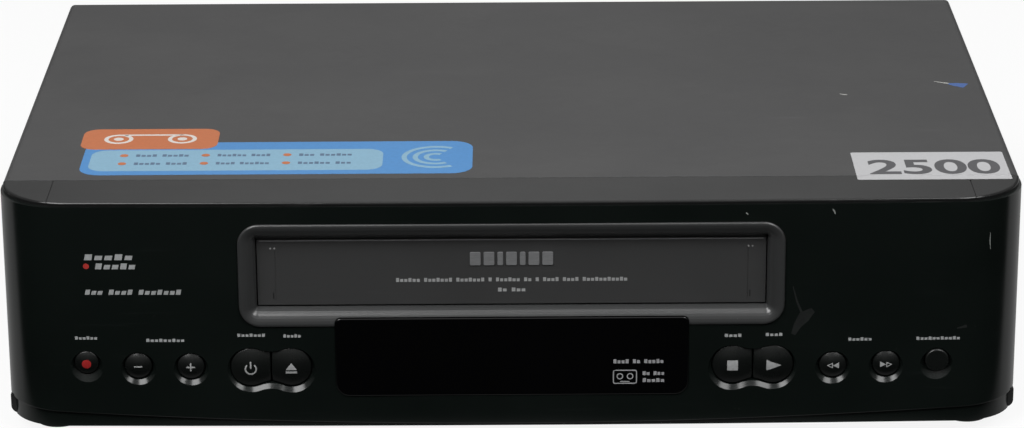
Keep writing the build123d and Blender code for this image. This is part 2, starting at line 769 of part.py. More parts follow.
def make_board_components():
    pieces = []
    bay = (-half + 14, -deck_half - 6)
    for row in range(5):
        x = bay[0] + 18
        y = seam_y + 26 + 24 * row
        body = block(x - 14, x + 14, y, y + 9, board_top + 0.5, board_top + 4)
        for leg in range(7):
            lx = x - 12 + 4 * leg
            body += block(lx - 0.4, lx + 0.4, y - 1, y + 10, board_top, board_top + 1.5)
        pieces.append(body)
    for row in range(6):
        y = seam_y + 28 + 18 * row
        radius = 3.5 + 0.8 * (row % 3)
        tall = 11 + 3 * (row % 3)
        can = post(bay[1] - 22, y, board_top, board_top + tall, radius)
        can = fillet(can.edges().group_by(Axis.Z)[-1], 0.6)
        pieces.append(can)
        pieces.append(post(bay[1] - 7, y + 4, board_top, board_top + 8, 2.5))
    x = power_middle() + 30
    for row in range(3):
        y = seam_y + 60 + 22 * row
        pieces.append(fillet(post(x, y, board_top, board_top + 20, 5).edges().group_by(Axis.Z)[-1], 0.6))
    fuse_y = inner_back - 26
    fuse = bar_x(fuse_y, board_top + 5, power_middle() - 10, power_middle() + 10, 2.6)
    for side in (-1, 1):
        x = power_middle() + 8 * side
        fuse += block(x - 2, x + 2, fuse_y - 3.4, fuse_y + 3.4, board_top, board_top + 6)
    pieces.append(fuse)
    return Compound(pieces)


def make_power_transformer():
    x = power_middle() - 4
    y = inner_back - transformer_back
    wide = transformer_half
    deep = transformer_reach
    limb = transformer_limb
    top = board_top + transformer_height
    foot_top = board_top + 4
    core = block(x - wide, x + wide, y - deep, y + deep, foot_top, top)
    opening = wide - limb
    low = foot_top + limb
    high = top - limb
    core -= block(x - opening, x + opening, y - deep - 1, y + deep + 1, low, high)
    middle = block(x - limb, x + limb, y - deep, y + deep, low - 1, high + 1)
    core += middle
    round_x = opening - 1
    winding = block(x - round_x, x + round_x, y - winding_reach, y + winding_reach, low + 1, high - 1)
    winding = fillet(winding.edges().filter_by(Axis.Z), limb - 1)
    foot = block(x - wide, x + wide, y - deep, y + deep, board_top, foot_top)
    return Compound([core + foot, winding - middle])


def make_smoothing_capacitor():
    x = power_middle() - 16
    y = seam_y + capacitor_front
    top = board_top + capacitor_height
    can = post(x, y, board_top, top, capacitor_radius)
    can = fillet(can.edges().group_by(Axis.Z)[-1], 1.2)
    score = capacitor_radius - 4
    return can - block(x - score, x + score, y - 0.4, y + 0.4, top - 0.4, top + 1)


def make_heat_sink():
    x = power_middle() - 4
    y = seam_y + sink_front
    top = board_top + sink_height
    sink = block(x - sink_half, x + sink_half, y, y + sink_plate, board_top, top)
    pitch = (2 * sink_half - 1.2 - sink_fin) / (sink_fins - 1)
    for fin in range(sink_fins):
        fin_x = x - sink_half + 0.6 + pitch * fin
        sink += block(fin_x, fin_x + sink_fin, y + sink_plate - 0.1, y + sink_fin_reach, board_top, top)
    return sink


def make_tuner_module():
    side = aerial_pitch / 2 + 15
    back = inner_back - 1.0
    top = board_top + tuner_height
    can = block(-side, side, back - tuner_depth, back, board_top, top)
    can = fillet(can.edges().filter_by(Axis.Z), 1.0)
    lid_side = side - tuner_lid_inset
    lid_front = back - tuner_depth + tuner_lid_inset
    lid = block(-lid_side, lid_side, lid_front, back - tuner_lid_inset, top - 0.1, top + 0.6)
    return Pos(aerial_x, 0, 0) * (can + lid)


def make_aerial_sockets():
    sockets = []
    back = inner_back - 1.0
    end = rear_y + socket_reach
    for x in aerial_places():
        socket = bar_y(x, aerial_z, rear_y - 0.1, end, aerial_radius)
        socket += bar_y(x, aerial_z, back, rear_y, aerial_radius + 0.8)
        socket -= bar_y(x, aerial_z, rear_y, end + 1, aerial_radius - 0.9)
        socket += bar_y(x, aerial_z, rear_y - 0.1, end - 1, 1.2)
        sockets.append(socket)
    return Compound(sockets)


def make_scart_sockets():
    sockets = []
    for z in scart_levels():
        wide = scart_width / 2
        tall = scart_height / 2
        body = block(-wide, wide, inner_back - 12, rear_y + 1, -tall, tall)
        body = fillet(body.edges().filter_by(Axis.Y), 1.0)
        mouth = Polyline((-22.6, 6.6), (19.4, 6.6), (22.6, 3.4), (22.6, -6.6), (-22.6, -6.6), close=True)
        body -= prism(make_face(mouth), rear_y - 8, rear_y + 2)
        core = block(-20.4, 19.4, rear_y - 8.1, rear_y - 4.6, -4.2, 4.2)
        for slit in range(10):
            x = -18.2 + 3.8 * slit
            for side in (-1, 1):
                left = x + 1.9 * (side > 0)
                row_z = 3 * side
                core -= block(left, left + 0.8, rear_y - 6.5, rear_y, row_z - 0.9, row_z + 0.9)
        foot = block(-wide + 4, wide - 4, inner_back - 11, inner_back - 2, -tall - 2, -tall + 0.1)
        sockets.append(Pos(scart_x, 0, z) * (body + core + foot))
    low, high = sockets
    return Compound([low, high])


def make_mains_inlet():
    body = Pos(mains_x, 0, mains_height) * prism(mains_outline(1.5), rear_y - 16, rear_y + 1.0)
    cavity = Pos(mains_x, 0, mains_height) * prism(mains_outline(0), rear_y - 13, rear_y + 2)
    body -= cavity
    for side in (-1, 1):
        x = mains_x + side * mains_pin_pitch / 2
        body += bar_y(x, mains_height, rear_y - 13.1, rear_y - 1.5, 1.2)
    wing = mains_pin_pitch / 2 + 4
    foot = block(mains_x - wing, mains_x + wing, rear_y - 16, rear_y - 9, board_top, mains_height - 4)
    return body + foot - cavity


def make_front_board():
    side = half - 20
    bottom = base_top + 2
    board = block(-side, side, front_board_y, front_board_y + board_thick, bottom, slot_bottom - 4)
    return board


def make_key_switches():
    switches = []
    for x, z in button_centres():
        wide = switch_half
        body = block(x - wide, x + wide, front_board_y - switch_body, front_board_y, z - wide, z + wide)
        plunger = bar_y(x, z, front_board_y - switch_height, front_board_y - switch_body + 0.1, 1.75)
        switches.append(body + plunger)
    return Compound(switches)


def button_centres():
    centres = [place[:2] for place in round_buttons.values()]
    for x, z in twin_buttons.values():
        centres += [(x - twin_pitch / 2, z), (x + twin_pitch / 2, z)]
    return centres


def make_fluorescent_display():
    bottom = window_bottom + window_rebate
    top = slot_bottom - bezel_bottom - 1.5
    side = window_half - 12
    tube = block(-side, side, front_board_y - 6.5, front_board_y, bottom, top)
    tube = fillet(tube.edges().filter_by(Axis.Y), 1.0)
    return tube + bar_x(front_board_y - 3, (bottom + top) / 2, -side - 5, -side + 0.1, 1.6)


def make_ribbon_cable():
    y0 = front_board_y + board_thick
    z0 = board_top + 14
    path = FilletPolyline((y0, z0), (y0 + 7, z0), (y0 + 7, board_top + 6), (y0 + 17, board_top + 6),
                          (y0 + 17, board_top), radius=2.4)
    strip = trace(path, line_width=0.7)
    side_plane = Plane(origin=(-half + 60, 0, 0), x_dir=(0, 1, 0), z_dir=(1, 0, 0))
    return extrude(side_plane * strip, amount=26)


# ---- mechanism ----
def make_deck_plate():
    deck = block(-deck_half, deck_half, deck_front_y, deck_back_y, deck_under, deck_height)
    slot_y0 = guide_y() - 3
    slot_y1 = guide_y() + guide_travel + 3
    slot = block(guide_x - 2.7, guide_x + 2.7, slot_y0, slot_y1, deck_under - 1, deck_height + 1)
    deck -= both_sides(slot)
    window = block(-26, 26, reel_y - 26, reel_y + 2, deck_under - 1, deck_height + 1)
    deck -= window
    reel_x = reel_spacing / 2
    top = gear_z + gear_height + 0.4
    for x in (-reel_x, reel_x):
        deck += post(x, reel_y, deck_under, top + 6, axle_radius)
    ix, iy = idler_place()
    deck += post(ix, iy, deck_under, top, axle_radius)
    deck += post(cam_x, cam_y, deck_under, top + 0.6, 3.0)
    deck += post(pinch_pivot_x, pinch_pivot_y, deck_under, deck_height + 9, 3.0)
    deck += post(tension_pivot_x, tension_pivot_y, deck_under, deck_height + 9, 3.0)
    deck += post(capstan_x, capstan_y, deck_under, deck_height + 5, 5.0)
    deck -= post(capstan_x, capstan_y, deck_under - 1, deck_height + 11, capstan_radius + running)
    deck += post(0, clutch_y, deck_under, gear_z - 0.2, 4.5)
    deck -= post(0, clutch_y, deck_under - 1, gear_z + 1, axle_radius + running)
    return deck


def guide_y():
    """Where the tape guides wait inside the cassette's mouth."""
    return mech_y + guide_start


def idler_place():
    """Between the clutch gear and the take-up reel, in mesh with both."""
    first = gear_module * (clutch_teeth + idler_teeth) / 2
    second = gear_module * (idler_teeth + reel_teeth) / 2
    dx = reel_spacing / 2
    dy = reel_y - clutch_y
    span = math.hypot(dx, dy)
    along = (first ** 2 - second ** 2 + span ** 2) / (2 * span)
    aside = math.sqrt(max(first ** 2 - along ** 2, 0))
    return (along * dx - aside * dy) / span, clutch_y + (along * dy + aside * dx) / span


def tilted(piece):
    """Set a piece of the drum on its leaning axis."""
    return Pos(0, drum_y, deck_height + 4.5) * Rot(drum_tilt, 0, 0) * piece


def make_drum_base():
    base = tilted(post(0, 0, 0, drum_base_height, drum_radius))
    lean = drum_radius * math.sin(math.radians(drum_tilt))
    base += post(0, drum_y, deck_height, deck_height + 4.5 + lean, drum_radius - 4)
    base += block(-drum_radius - 2, drum_radius + 2, drum_y - 8, drum_y + 8, deck_height, deck_height + 3)
    base -= tilted(post(0, 0, 6, drum_base_height + 1, drum_shaft + running))
    ledge = post(0, 0, drum_base_height - 9, drum_base_height + 1, drum_radius + 3)
    ledge -= post(0, 0, drum_base_height - 10, drum_base_height + 2, drum_radius - 0.4)
    ledge = Rot(1.4, 0, 0) * ledge
    return base - tilted(ledge)


def make_head_drum():
    low = drum_base_height + drum_gap
    high = low + head_drum_height
    drum = post(0, 0, low, high, drum_radius)
    drum = fillet(drum.edges().group_by(Axis.Z)[-1], 1.2)
    drum -= post(0, 0, high - 3, high + 1, drum_radius - 6) - post(0, 0, high - 4, high + 2, 12)
    drum += post(0, 0, high - 4, high + 3, 7)
    for step in range(4):
        turn = Rot(0, 0, 90 * step + 45)
        drum -= turn * block(drum_radius - 2.5, drum_radius + 1, -2.5, 2.5, low - 1, low + 2.5)
        drum += turn * block(drum_radius - 2.6, drum_radius - 0.1, -0.8, 0.8, low + 0.2, low + 2.6)
        drum -= turn * post(15, 0, high - 4, high + 1, 1.5)
    drum += post(0, 0, 8, low + 1, drum_shaft)
    return tilted(drum)


def make_capstan():
    capstan = post(capstan_x, capstan_y, belt_z - 4.5, deck_height + 24, capstan_radius)
    wheel = post(capstan_x, capstan_y, belt_z - 1.2 - flywheel_height, belt_z - 1.2, flywheel_radius)
    groove = post(capstan_x, capstan_y, belt_z - 1.2 - flywheel_height - 1, belt_z - 3.2, 15)
    groove -= post(capstan_x, capstan_y, belt_z - 9, belt_z, 8)
    wheel -= groove
    return capstan + wheel + pulley(capstan_x, capstan_y, pulley_radius)


def pulley(x, y, radius):
    """Grooved pulley in the belt's plane; the belt lies on its waist."""
    wheel = post(x, y, belt_z - 1.3, belt_z + 1.2, radius + pulley_flange)
    waist = post(x, y, belt_z - 0.8, belt_z + 0.8, radius + pulley_flange + 1)
    return wheel - (waist - post(x, y, belt_z - 1, belt_z + 1, radius))


def make_drive_belt():
    outlines = []
    for grow in (0.2, 0.2 + belt_thick):
        near = Pos(capstan_x, capstan_y) * CenterArc((0, 0), pulley_radius + grow, 0, 360)
        far = Pos(0, clutch_y) * CenterArc((0, 0), clutch_pulley_radius + grow, 0, 360)
        outlines.append(make_hull([near.edge(), far.edge()]))
    band = outlines[1] - outlines[0]
    return plate(band, belt_z - belt_height / 2, belt_z + belt_height / 2)


def make_clutch_pulley():
    piece = pulley(0, clutch_y, clutch_pulley_radius)
    piece += post(0, clutch_y, belt_z - 1.3, gear_z + gear_height + 0.6, axle_radius)
    piece += post(0, clutch_y, belt_z + 1.1, deck_under - 0.3, 5)
    gear = Pos(0, clutch_y) * gear_outline(clutch_teeth, 0)
    return piece + plate(gear, gear_z, gear_z + gear_height)


def idler_turn():
    return mesh_turn(0, clutch_teeth, (0, clutch_y), idler_place(), idler_teeth)


def make_idler_gear():
    x, y = idler_place()
    gear = plate(Pos(x, y) * gear_outline(idler_teeth, idler_turn()), gear_z, gear_z + gear_height)
    gear += post(x, y, deck_height + 0.1, gear_z + 0.1, 4)
    for step in range(5):
        angle = 2 * math.pi * step / 5
        gear -= post(x + 7 * math.cos(angle), y + 7 * math.sin(angle), deck_height, gear_z + 5, 1.6)
    return gear - post(x, y, deck_height, gear_z + 5, axle_radius + running)


def make_reel(side, turn):
    x = side * reel_spacing / 2
    reel = plate(Pos(x, reel_y) * gear_outline(reel_teeth, turn), gear_z, gear_z + gear_height)
    reel += post(x, reel_y, deck_height + 0.1, gear_z + 0.1, 5)
    top = gear_z + gear_height + spindle_height
    reel += post(x, reel_y, gear_z + gear_height - 0.1, top - 4, spindle_radius)
    reel += Pos(x, reel_y, top - 2) * Cone(spindle_radius, 2.2, 4)
    for step in range(3):
        spline = block(0, spindle_radius + 1.6, -0.8, 0.8, gear_z + gear_height - 0.1, top - 6)
        reel += Pos(x, reel_y) * Rot(0, 0, 120 * step + 90) * spline
    return reel - post(x, reel_y, deck_height - 1, gear_z + gear_height + 7, axle_radius + running)


def takeup_turn():
    here = idler_place()
    return mesh_turn(idler_turn(), idler_teeth, here, (reel_spacing / 2, reel_y), reel_teeth)


def make_capstan_motor():
    top = belt_z - 1.2 - flywheel_height - 0.5
    low = board_top + 0.6
    base = block(capstan_x - 34, capstan_x + 28, capstan_y - 26, capstan_y + 26, low, top)
    base = fillet(base.edges().filter_by(Axis.Z), 5)
    for dx, dy in ((-31, 0), (24, -15), (24, 15)):
        base += post(capstan_x + dx, capstan_y + dy, low, deck_under, 2.0)
    return base - post(capstan_x, capstan_y, low - 1, top + 1, 2.6)


def pinch_rest():
    """Angle and reach of the pinch arm at rest, from its pivot."""
    back = pinch_pivot_x - capstan_x
    touch = pinch_roller_radius + capstan_radius + 0.2
    engaged = math.atan2(capstan_y - touch - pinch_pivot_y, -back)
    reach = math.hypot(back, capstan_y - touch - pinch_pivot_y)
    return engaged + math.radians(pinch_swing), reach


def pinch_centre():
    angle, reach = pinch_rest()
    return pinch_pivot_x + reach * math.cos(angle), pinch_pivot_y + reach * math.sin(angle)


def arm_outline(start, end, start_radius, end_radius):
    """Flat lever: two round ends joined by straight sides."""
    near = Pos(*start) * CenterArc((0, 0), start_radius, 0, 360)
    far = Pos(*end) * CenterArc((0, 0), end_radius, 0, 360)
    return make_hull([near.edge(), far.edge()])


def make_pinch_arm():
    pivot = (pinch_pivot_x, pinch_pivot_y)
    centre = pinch_centre()
    low = deck_height + 4
    arm = plate(arm_outline(pivot, centre, 4.8, 3.4), low, low + 1.6)
    arm += post(*pivot, deck_height + 0.2, low + 4, 4.8)
    arm += post(*centre, low, low + 2 + pinch_roller_height + 1, 1.5)
    arm += post(*centre, low + 2 + pinch_roller_height, low + 3 + pinch_roller_height, 3.0)
    return arm - post(*pivot, deck_height, low + 5, 3.0 + running)


def make_pinch_roller():
    centre = pinch_centre()
    low = deck_height + 4 + 1.8
    roller = post(*centre, low, low + pinch_roller_height, pinch_roller_radius)
    roller = chamfer(roller.edges().group_by(Axis.Z)[-1] + roller.edges().group_by(Axis.Z)[0], 0.5)
    return roller - post(*centre, low - 1, low + pinch_roller_height + 1, 1.5 + running)


def make_guide(side):
    x = side * guide_x
    y = guide_y()
    guide = block(x - 5, x + 5, y - 5, y + 5, deck_height + 0.1, deck_height + 3.2)
    guide = fillet(guide.edges().filter_by(Axis.Z), 1.5)
    guide += block(x - 2.3, x + 2.3, y - 2.3, y + 2.3, deck_under - 0.3, deck_height + 0.2)
    guide += block(x - 4, x + 4, y - 4, y + 4, deck_under - 2.2, deck_under - 0.2)
    guide += post(x, y - 1.8, deck_height + 3.1, guide_post, 1.2)
    guide += post(x, y - 1.8, deck_height + 6, guide_post - 3, 2.6)
    guide += post(x, y - 1.8, guide_post - 2, guide_post, 3.0)
    lean = Pos(x, y + 3, deck_height + 3) * Rot(-14, 14 * side, 0) * post(0, 0, 0, 19, 1.0)
    return guide + lean


def make_erase_head():
    x, y = -60.0, mech_y + 17.0
    head = block(x - 4.5, x + 4.5, y - 5.5, y + 5.5, deck_height + 7, deck_height + 24)
    head = fillet(head.edges().filter_by(Axis.Z).sort_by(Axis.Y)[-2:], 2.5)
    head += block(x - 6, x + 6, y - 7, y + 4, deck_height + 5.5, deck_height + 7.1)
    head += post(x, y - 3, deck_height, deck_height + 5.6, 2.5)
    return head


def make_audio_control_head():
    x, y = 53.0, mech_y + 25.0
    head = block(x - 4, x + 4, y - 4, y + 5, deck_height + 6.5, deck_height + 25)
    head = fillet(head.edges().filter_by(Axis.Z).sort_by(Axis.Y)[-2:], 1.5)
    head += block(x - 5, x + 12, y - 4.5, y + 5.5, deck_height + 5, deck_height + 6.6)
    head += post(x + 9, y + 1, deck_height, deck_height + 12, 2.2)
    head += post(x, y, deck_height, deck_height + 5.1, 2.2)
    return head


def make_tension_arm():
    pivot = (tension_pivot_x, tension_pivot_y)
    end = (pivot[0] + 22.5, pivot[1] + 13)
    low = deck_height + 5
    arm = plate(arm_outline(pivot, end, 4.8, 2.4), low, low + 1.5)
    arm += post(*pivot, deck_height + 0.2, low + 3, 4.8)
    arm += post(*end, low, deck_height + 24, 1.3)
    return arm - post(*pivot, deck_height, low + 4, 3.0 + running)


def pinion_place():
    """The loading motor's pinion, in mesh with the cam gear."""
    reach = gear_module * (cam_teeth + pinion_teeth) / 2
    angle = math.radians(-100)
    return cam_x + reach * math.cos(angle), cam_y + reach * math.sin(angle)


def make_cam_gear():
    gear = plate(Pos(cam_x, cam_y) * gear_outline(cam_teeth, 0), gear_z, gear_z + gear_height)
    gear += post(cam_x, cam_y, deck_height + 0.1, gear_z + 0.1, 6)
    track = Pos(cam_x + 2, cam_y) * (Circle(12.5) - Circle(10.5))
    gear -= plate(track, gear_z + 1.2, gear_z + gear_height + 1)
    return gear - post(cam_x, cam_y, deck_height, gear_z + 5, 3.0 + running)


def make_loading_pinion():
    x, y = pinion_place()
    turn = mesh_turn(0, cam_teeth, (cam_x, cam_y), (x, y), pinion_teeth)
    pinion = plate(Pos(x, y) * gear_outline(pinion_teeth, turn), gear_z, gear_z + gear_height)
    return pinion + post(x, y, gear_z, gear_z + gear_height + 8, 1.0)


def make_loading_motor():
    x, y = pinion_place()
    low = gear_z + gear_height + 1.4
    motor = post(x, y, low + 1.6, low + 26, 9.5)
    motor = fillet(motor.edges().group_by(Axis.Z)[-1], 1.0)
    motor += post(x, y, low + 25.9, low + 27.5, 3.5)
    motor += block(x - 13, x + 13, y - 10, y + 8, low, low + 1.7)
    for dx in (-11, 11):
        motor += post(x + dx, y - 8, deck_height, low + 0.1, 1.8)
    return motor - post(x, y, low - 1, low + 8, 1.0 + running)


def make_cassette_carriage():
    """Open basket: ledges under the cassette, sides, and a bridge above it."""
    y0 = carriage_y
    y1 = y0 + carriage_depth
    side = slot_half + 0.2
    low = slot_bottom
    high = slot_top + 0.5
    wall = block(side, side + carriage_wall, y0, y1, low, high + 1.0)
    ledge = block(side - 6.5, side + 0.1, y0, y1, low, low + 1.0)
    stop = block(side - 6.5, side + 0.1, y1 - 1, y1, low, low + 8)
    pins = bar_x(y0 + 9, carriage_pin_z(), side + 0.5, side + carriage_wall + 1.2, carriage_pin)
    pins += bar_x(y1 - 9, carriage_pin_z(), side + 0.5, side + carriage_wall + 1.2, carriage_pin)
    basket = both_sides(wall + ledge + stop + pins)
    bridge = block(-side - 0.1, side + 0.1, y0, y1, high, high + 1.0)
    bridge -= block(-30, 30, y0 + 12, y1 - 12, high - 1, high + 2)
    for x in (-56, 56):
        for y in (y0 + 14, y1 - 14):
            bridge -= block(x - 14, x + 14, y - 5, y + 5, high - 1, high + 2)
    return basket + bridge


def carriage_pin_z():
    return (slot_bottom + slot_top) / 2


def runner_plane():
    """Inner face of the runner beside the carriage."""
    return slot_half + 0.2 + carriage_wall + runner_gap


def make_carriage_runners():
    """Two plates that slide back with the carriage and let it drop between them."""
    x0 = runner_plane()
    y0 = carriage_y + 3
    y1 = carriage_y + carriage_depth - 3
    z = carriage_pin_z()
    low = z - carriage_drop - 5
    high = slot_top + 5
    runner = block(x0, x0 + 1.0, y0, y1, low, high)
    wide = carriage_pin + 0.2
    for y in (carriage_y + 9, carriage_y + carriage_depth - 9):
        runner -= block(x0 - 1, x0 + 2, y - wide, y + wide, z - carriage_drop - wide, z + wide)
    for y in (y0 + 4, y1 - 4):
        runner += bar_x(y, high - 3.5, x0 + 0.9, x0 + 1.0 + runner_gap + rail_sheet + 0.3, carriage_pin)
    return both_sides(runner)


def make_carriage_rails():
    """Side brackets on the deck, joined by a bar above the carriage."""
    x0 = runner_plane() + 1.0 + runner_gap
    y0 = carriage_y - 1
    y1 = carriage_y + carriage_depth + carriage_travel + 2
    high = slot_top + 9
    rail = block(x0, x0 + rail_sheet, y0, y1, deck_height, high)
    slot_z = slot_top + 1.5
    first = carriage_y + 7 - carriage_pin - 0.2
    last = carriage_y + carriage_depth - 7 + carriage_travel + carriage_pin + 0.2
    rail -= block(x0 - 1, x0 + 3, first, last, slot_z - carriage_pin - 0.2, slot_z + carriage_pin + 0.2)
    rail -= block(x0 - 1, x0 + 3, y0 + 30, y1 - 30, deck_height + 8, slot_bottom - 4)
    tab_x0 = x0 + rail_sheet - 0.1
    tab_x1 = x0 + rail_sheet + rail_tab
    tab_top = deck_height + rail_sheet
    rail += block(tab_x0, tab_x1, y0 + 20, y0 + 34, deck_height, tab_top)
    rail += block(tab_x0, tab_x1, y1 - 34, y1 - 20, deck_height, tab_top)
    rails = both_sides(rail)
    return rails + block(-x0 - 0.1, x0 + 0.1, y1 - 24, y1 - 10, high - 1.2, high)


# ---- nodes ----
def make_nodes():
    nodes = {
        "front_panel": make_front_panel(),
        "top_trim": make_top_trim(),
        "cassette_bezel": make_cassette_bezel(),
        "cassette_flap": make_cassette_flap(),
        "flap_spring": make_flap_spring(),
        "display_window": make_display_window(),
        "top_cover": make_top_cover(),
        "rear_panel": make_rear_panel(),
        "base_frame": make_base_frame(),
        "bottom_plate": make_bottom_plate(),
        "feet": make_feet(),
        "case_screws": make_case_screws(),
        "scart_sockets": make_scart_sockets(),
        "aerial_sockets": make_aerial_sockets(),
        "mains_inlet": make_mains_inlet(),
        "main_board": make_main_board(),
        "board_components": make_board_components(),
        "front_board": make_front_board(),
        "key_switches": make_key_switches(),
        "fluorescent_display": make_fluorescent_display(),
        "ribbon_cable": make_ribbon_cable(),
        "power_board": make_power_board(),
        "power_transformer": make_power_transformer(),
        "smoothing_capacitor": make_smoothing_capacitor(),
        "heat_sink": make_heat_sink(),
        "tuner_module": make_tuner_module(),
        "deck_plate": make_deck_plate(),
        "drum_base": make_drum_base(),
        "head_drum": make_head_drum(),
        "capstan": make_capstan(),
        "capstan_motor": make_capstan_motor(),
        "pinch_arm": make_pinch_arm(),
        "pinch_roller": make_pinch_roller(),
        "supply_reel": make_reel(-1, 0),
        "takeup_reel": make_reel(1, takeup_turn()),
        "idler_gear": make_idler_gear(),
        "clutch_pulley": make_clutch_pulley(),
        "drive_belt": make_drive_belt(),
        "supply_guide": make_guide(-1),
        "takeup_guide": make_guide(1),
        "audio_control_head": make_audio_control_head(),
        "erase_head": make_erase_head(),
        "tension_arm": make_tension_arm(),
        "cam_gear": make_cam_gear(),
        "loading_motor": make_loading_motor(),
        "loading_pinion": make_loading_pinion(),
        "cassette_carriage": make_cassette_carriage(),
        "carriage_runners": make_carriage_runners(),
        "carriage_rails": make_carriage_rails(),
    }
    for name in round_buttons:
        nodes[name] = make_round_button(name)
    for names, (x, z) in twin_buttons.items():
        for name, side in zip(names, (-1, 1)):
            nodes[name] = make_twin_button(x, z, side)
    return nodes


os.makedirs("parts", exist_ok=True)
for node, shape in make_nodes().items():
    export_step(shape, f"parts/{node}.step")
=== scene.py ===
import math
import bmesh
import bpy
from mathutils import Matrix, Vector
from mathutils.bvhtree import BVHTree


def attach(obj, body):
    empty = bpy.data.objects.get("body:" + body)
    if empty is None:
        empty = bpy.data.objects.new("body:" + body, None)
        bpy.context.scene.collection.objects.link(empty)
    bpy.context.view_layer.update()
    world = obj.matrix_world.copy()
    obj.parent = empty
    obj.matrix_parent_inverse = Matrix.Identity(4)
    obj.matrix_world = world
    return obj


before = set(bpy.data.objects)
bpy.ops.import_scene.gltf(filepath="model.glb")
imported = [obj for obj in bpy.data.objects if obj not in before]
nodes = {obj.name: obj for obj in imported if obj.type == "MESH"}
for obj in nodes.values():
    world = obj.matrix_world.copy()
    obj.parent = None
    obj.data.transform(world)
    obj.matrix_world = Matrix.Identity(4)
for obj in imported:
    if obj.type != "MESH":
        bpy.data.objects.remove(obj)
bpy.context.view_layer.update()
mm = 0.001
print("frame loaded:", len(nodes), "nodes")


# small helpers for node trees
def addNode(tree, kind, **values):
    node = tree.nodes.new(kind)
    for name, value in values.items():
        setattr(node, name, value)
    return node


def plug(tree, source, target):  # source is a socket or a plain value
    if isinstance(source, bpy.types.NodeSocket):
        tree.links.new(source, target)
    else:
        target.default_value = source


def mathNode(tree, operation, a, b=0.0, clamp=False):
    node = addNode(tree, "ShaderNodeMath", operation=operation, use_clamp=clamp)
    plug(tree, a, node.inputs[0])
    plug(tree, b, node.inputs[1])
    return node.outputs[0]


def rangeNode(tree, value, low, high, toLow=0.0, toHigh=1.0):
    node = addNode(tree, "ShaderNodeMapRange")
    for socket, item in zip(node.inputs, (value, low, high, toLow, toHigh)):
        plug(tree, item, socket)
    return node.outputs[0]


def mixColour(tree, factor, a, b):
    node = addNode(tree, "ShaderNodeMix", data_type="RGBA")
    plug(tree, factor, node.inputs[0])
    plug(tree, a, node.inputs[6])
    plug(tree, b, node.inputs[7])
    return node.outputs[2]


def noiseNode(tree, vector, scale, detail=3.0, roughness=0.55):
    node = addNode(tree, "ShaderNodeTexNoise")
    plug(tree, vector, node.inputs["Vector"])
    plug(tree, scale, node.inputs["Scale"])
    node.inputs["Detail"].default_value = detail
    node.inputs["Roughness"].default_value = roughness
    return node.outputs["Fac"]


def stretched(tree, stretch, turn=(0, 0, 0)):
    place = addNode(tree, "ShaderNodeTexCoord")
    mapping = addNode(tree, "ShaderNodeMapping")
    mapping.inputs["Rotation"].default_value = turn
    plug(tree, stretch, mapping.inputs["Scale"])
    tree.links.new(place.outputs["Object"], mapping.inputs["Vector"])
    return mapping.outputs[0]


def newGroup(name, inputs, outputs):
    group = bpy.data.node_groups.new(name, "ShaderNodeTree")
    for label, start in inputs.items():
        kind = "NodeSocketColor" if isinstance(start, tuple) else "NodeSocketFloat"
        socket = group.interface.new_socket(label, in_out="INPUT", socket_type=kind)
        socket.default_value = start
    for label in outputs:
        kind = "NodeSocketColor" if label == "Colour" else "NodeSocketFloat"
        group.interface.new_socket(label, in_out="OUTPUT", socket_type=kind)
    start = group.nodes.new("NodeGroupInput")
    end = group.nodes.new("NodeGroupOutput")
    return group, start.outputs, end.inputs


# shared effects
def makeMouldGrain():
    tree, given, out = newGroup("mouldGrain", {"Scale": 3000.0, "Depth": 1.0}, ["Height"])
    vector = stretched(tree, (1, 1, 1))
    fine = noiseNode(tree, vector, given["Scale"], 2.0)
    coarse = noiseNode(tree, vector, mathNode(tree, "MULTIPLY", given["Scale"], 0.31), 3.0)
    fineShare = mathNode(tree, "MULTIPLY", fine, 0.65)
    coarseShare = mathNode(tree, "MULTIPLY", coarse, 0.35)
    both = mathNode(tree, "ADD", fineShare, coarseShare)
    plug(tree, mathNode(tree, "MULTIPLY", both, given["Depth"]), out["Height"])
    return tree


def makeRollingLines():
    start = {"Along X": 20.0, "Along Y": 900.0, "Along Z": 900.0}
    tree, given, out = newGroup("rollingLines", start, ["Value"])
    joined = addNode(tree, "ShaderNodeCombineXYZ")
    for socket, label in zip(joined.inputs, start):
        plug(tree, given[label], socket)
    vector = stretched(tree, joined.outputs[0])
    plug(tree, noiseNode(tree, vector, 1.0, 4.0, 0.65), out["Value"])
    return tree


def makeMottle():
    start = {"Base": (0.5, 0.5, 0.5, 1.0), "Amount": 0.1, "Scale": 18.0}
    tree, given, out = newGroup("mottle", start, ["Colour"])
    vector = stretched(tree, (1, 1, 1))
    cloud = noiseNode(tree, vector, given["Scale"], 5.0)
    shade = rangeNode(tree, cloud, 0.3, 0.7, -1.0, 1.0)
    level = mathNode(tree, "ADD", mathNode(tree, "MULTIPLY", shade, given["Amount"]), 1.0)
    scaled = addNode(tree, "ShaderNodeVectorMath", operation="SCALE")
    plug(tree, given["Base"], scaled.inputs[0])
    plug(tree, level, scaled.inputs["Scale"])
    plug(tree, scaled.outputs[0], out["Colour"])
    return tree


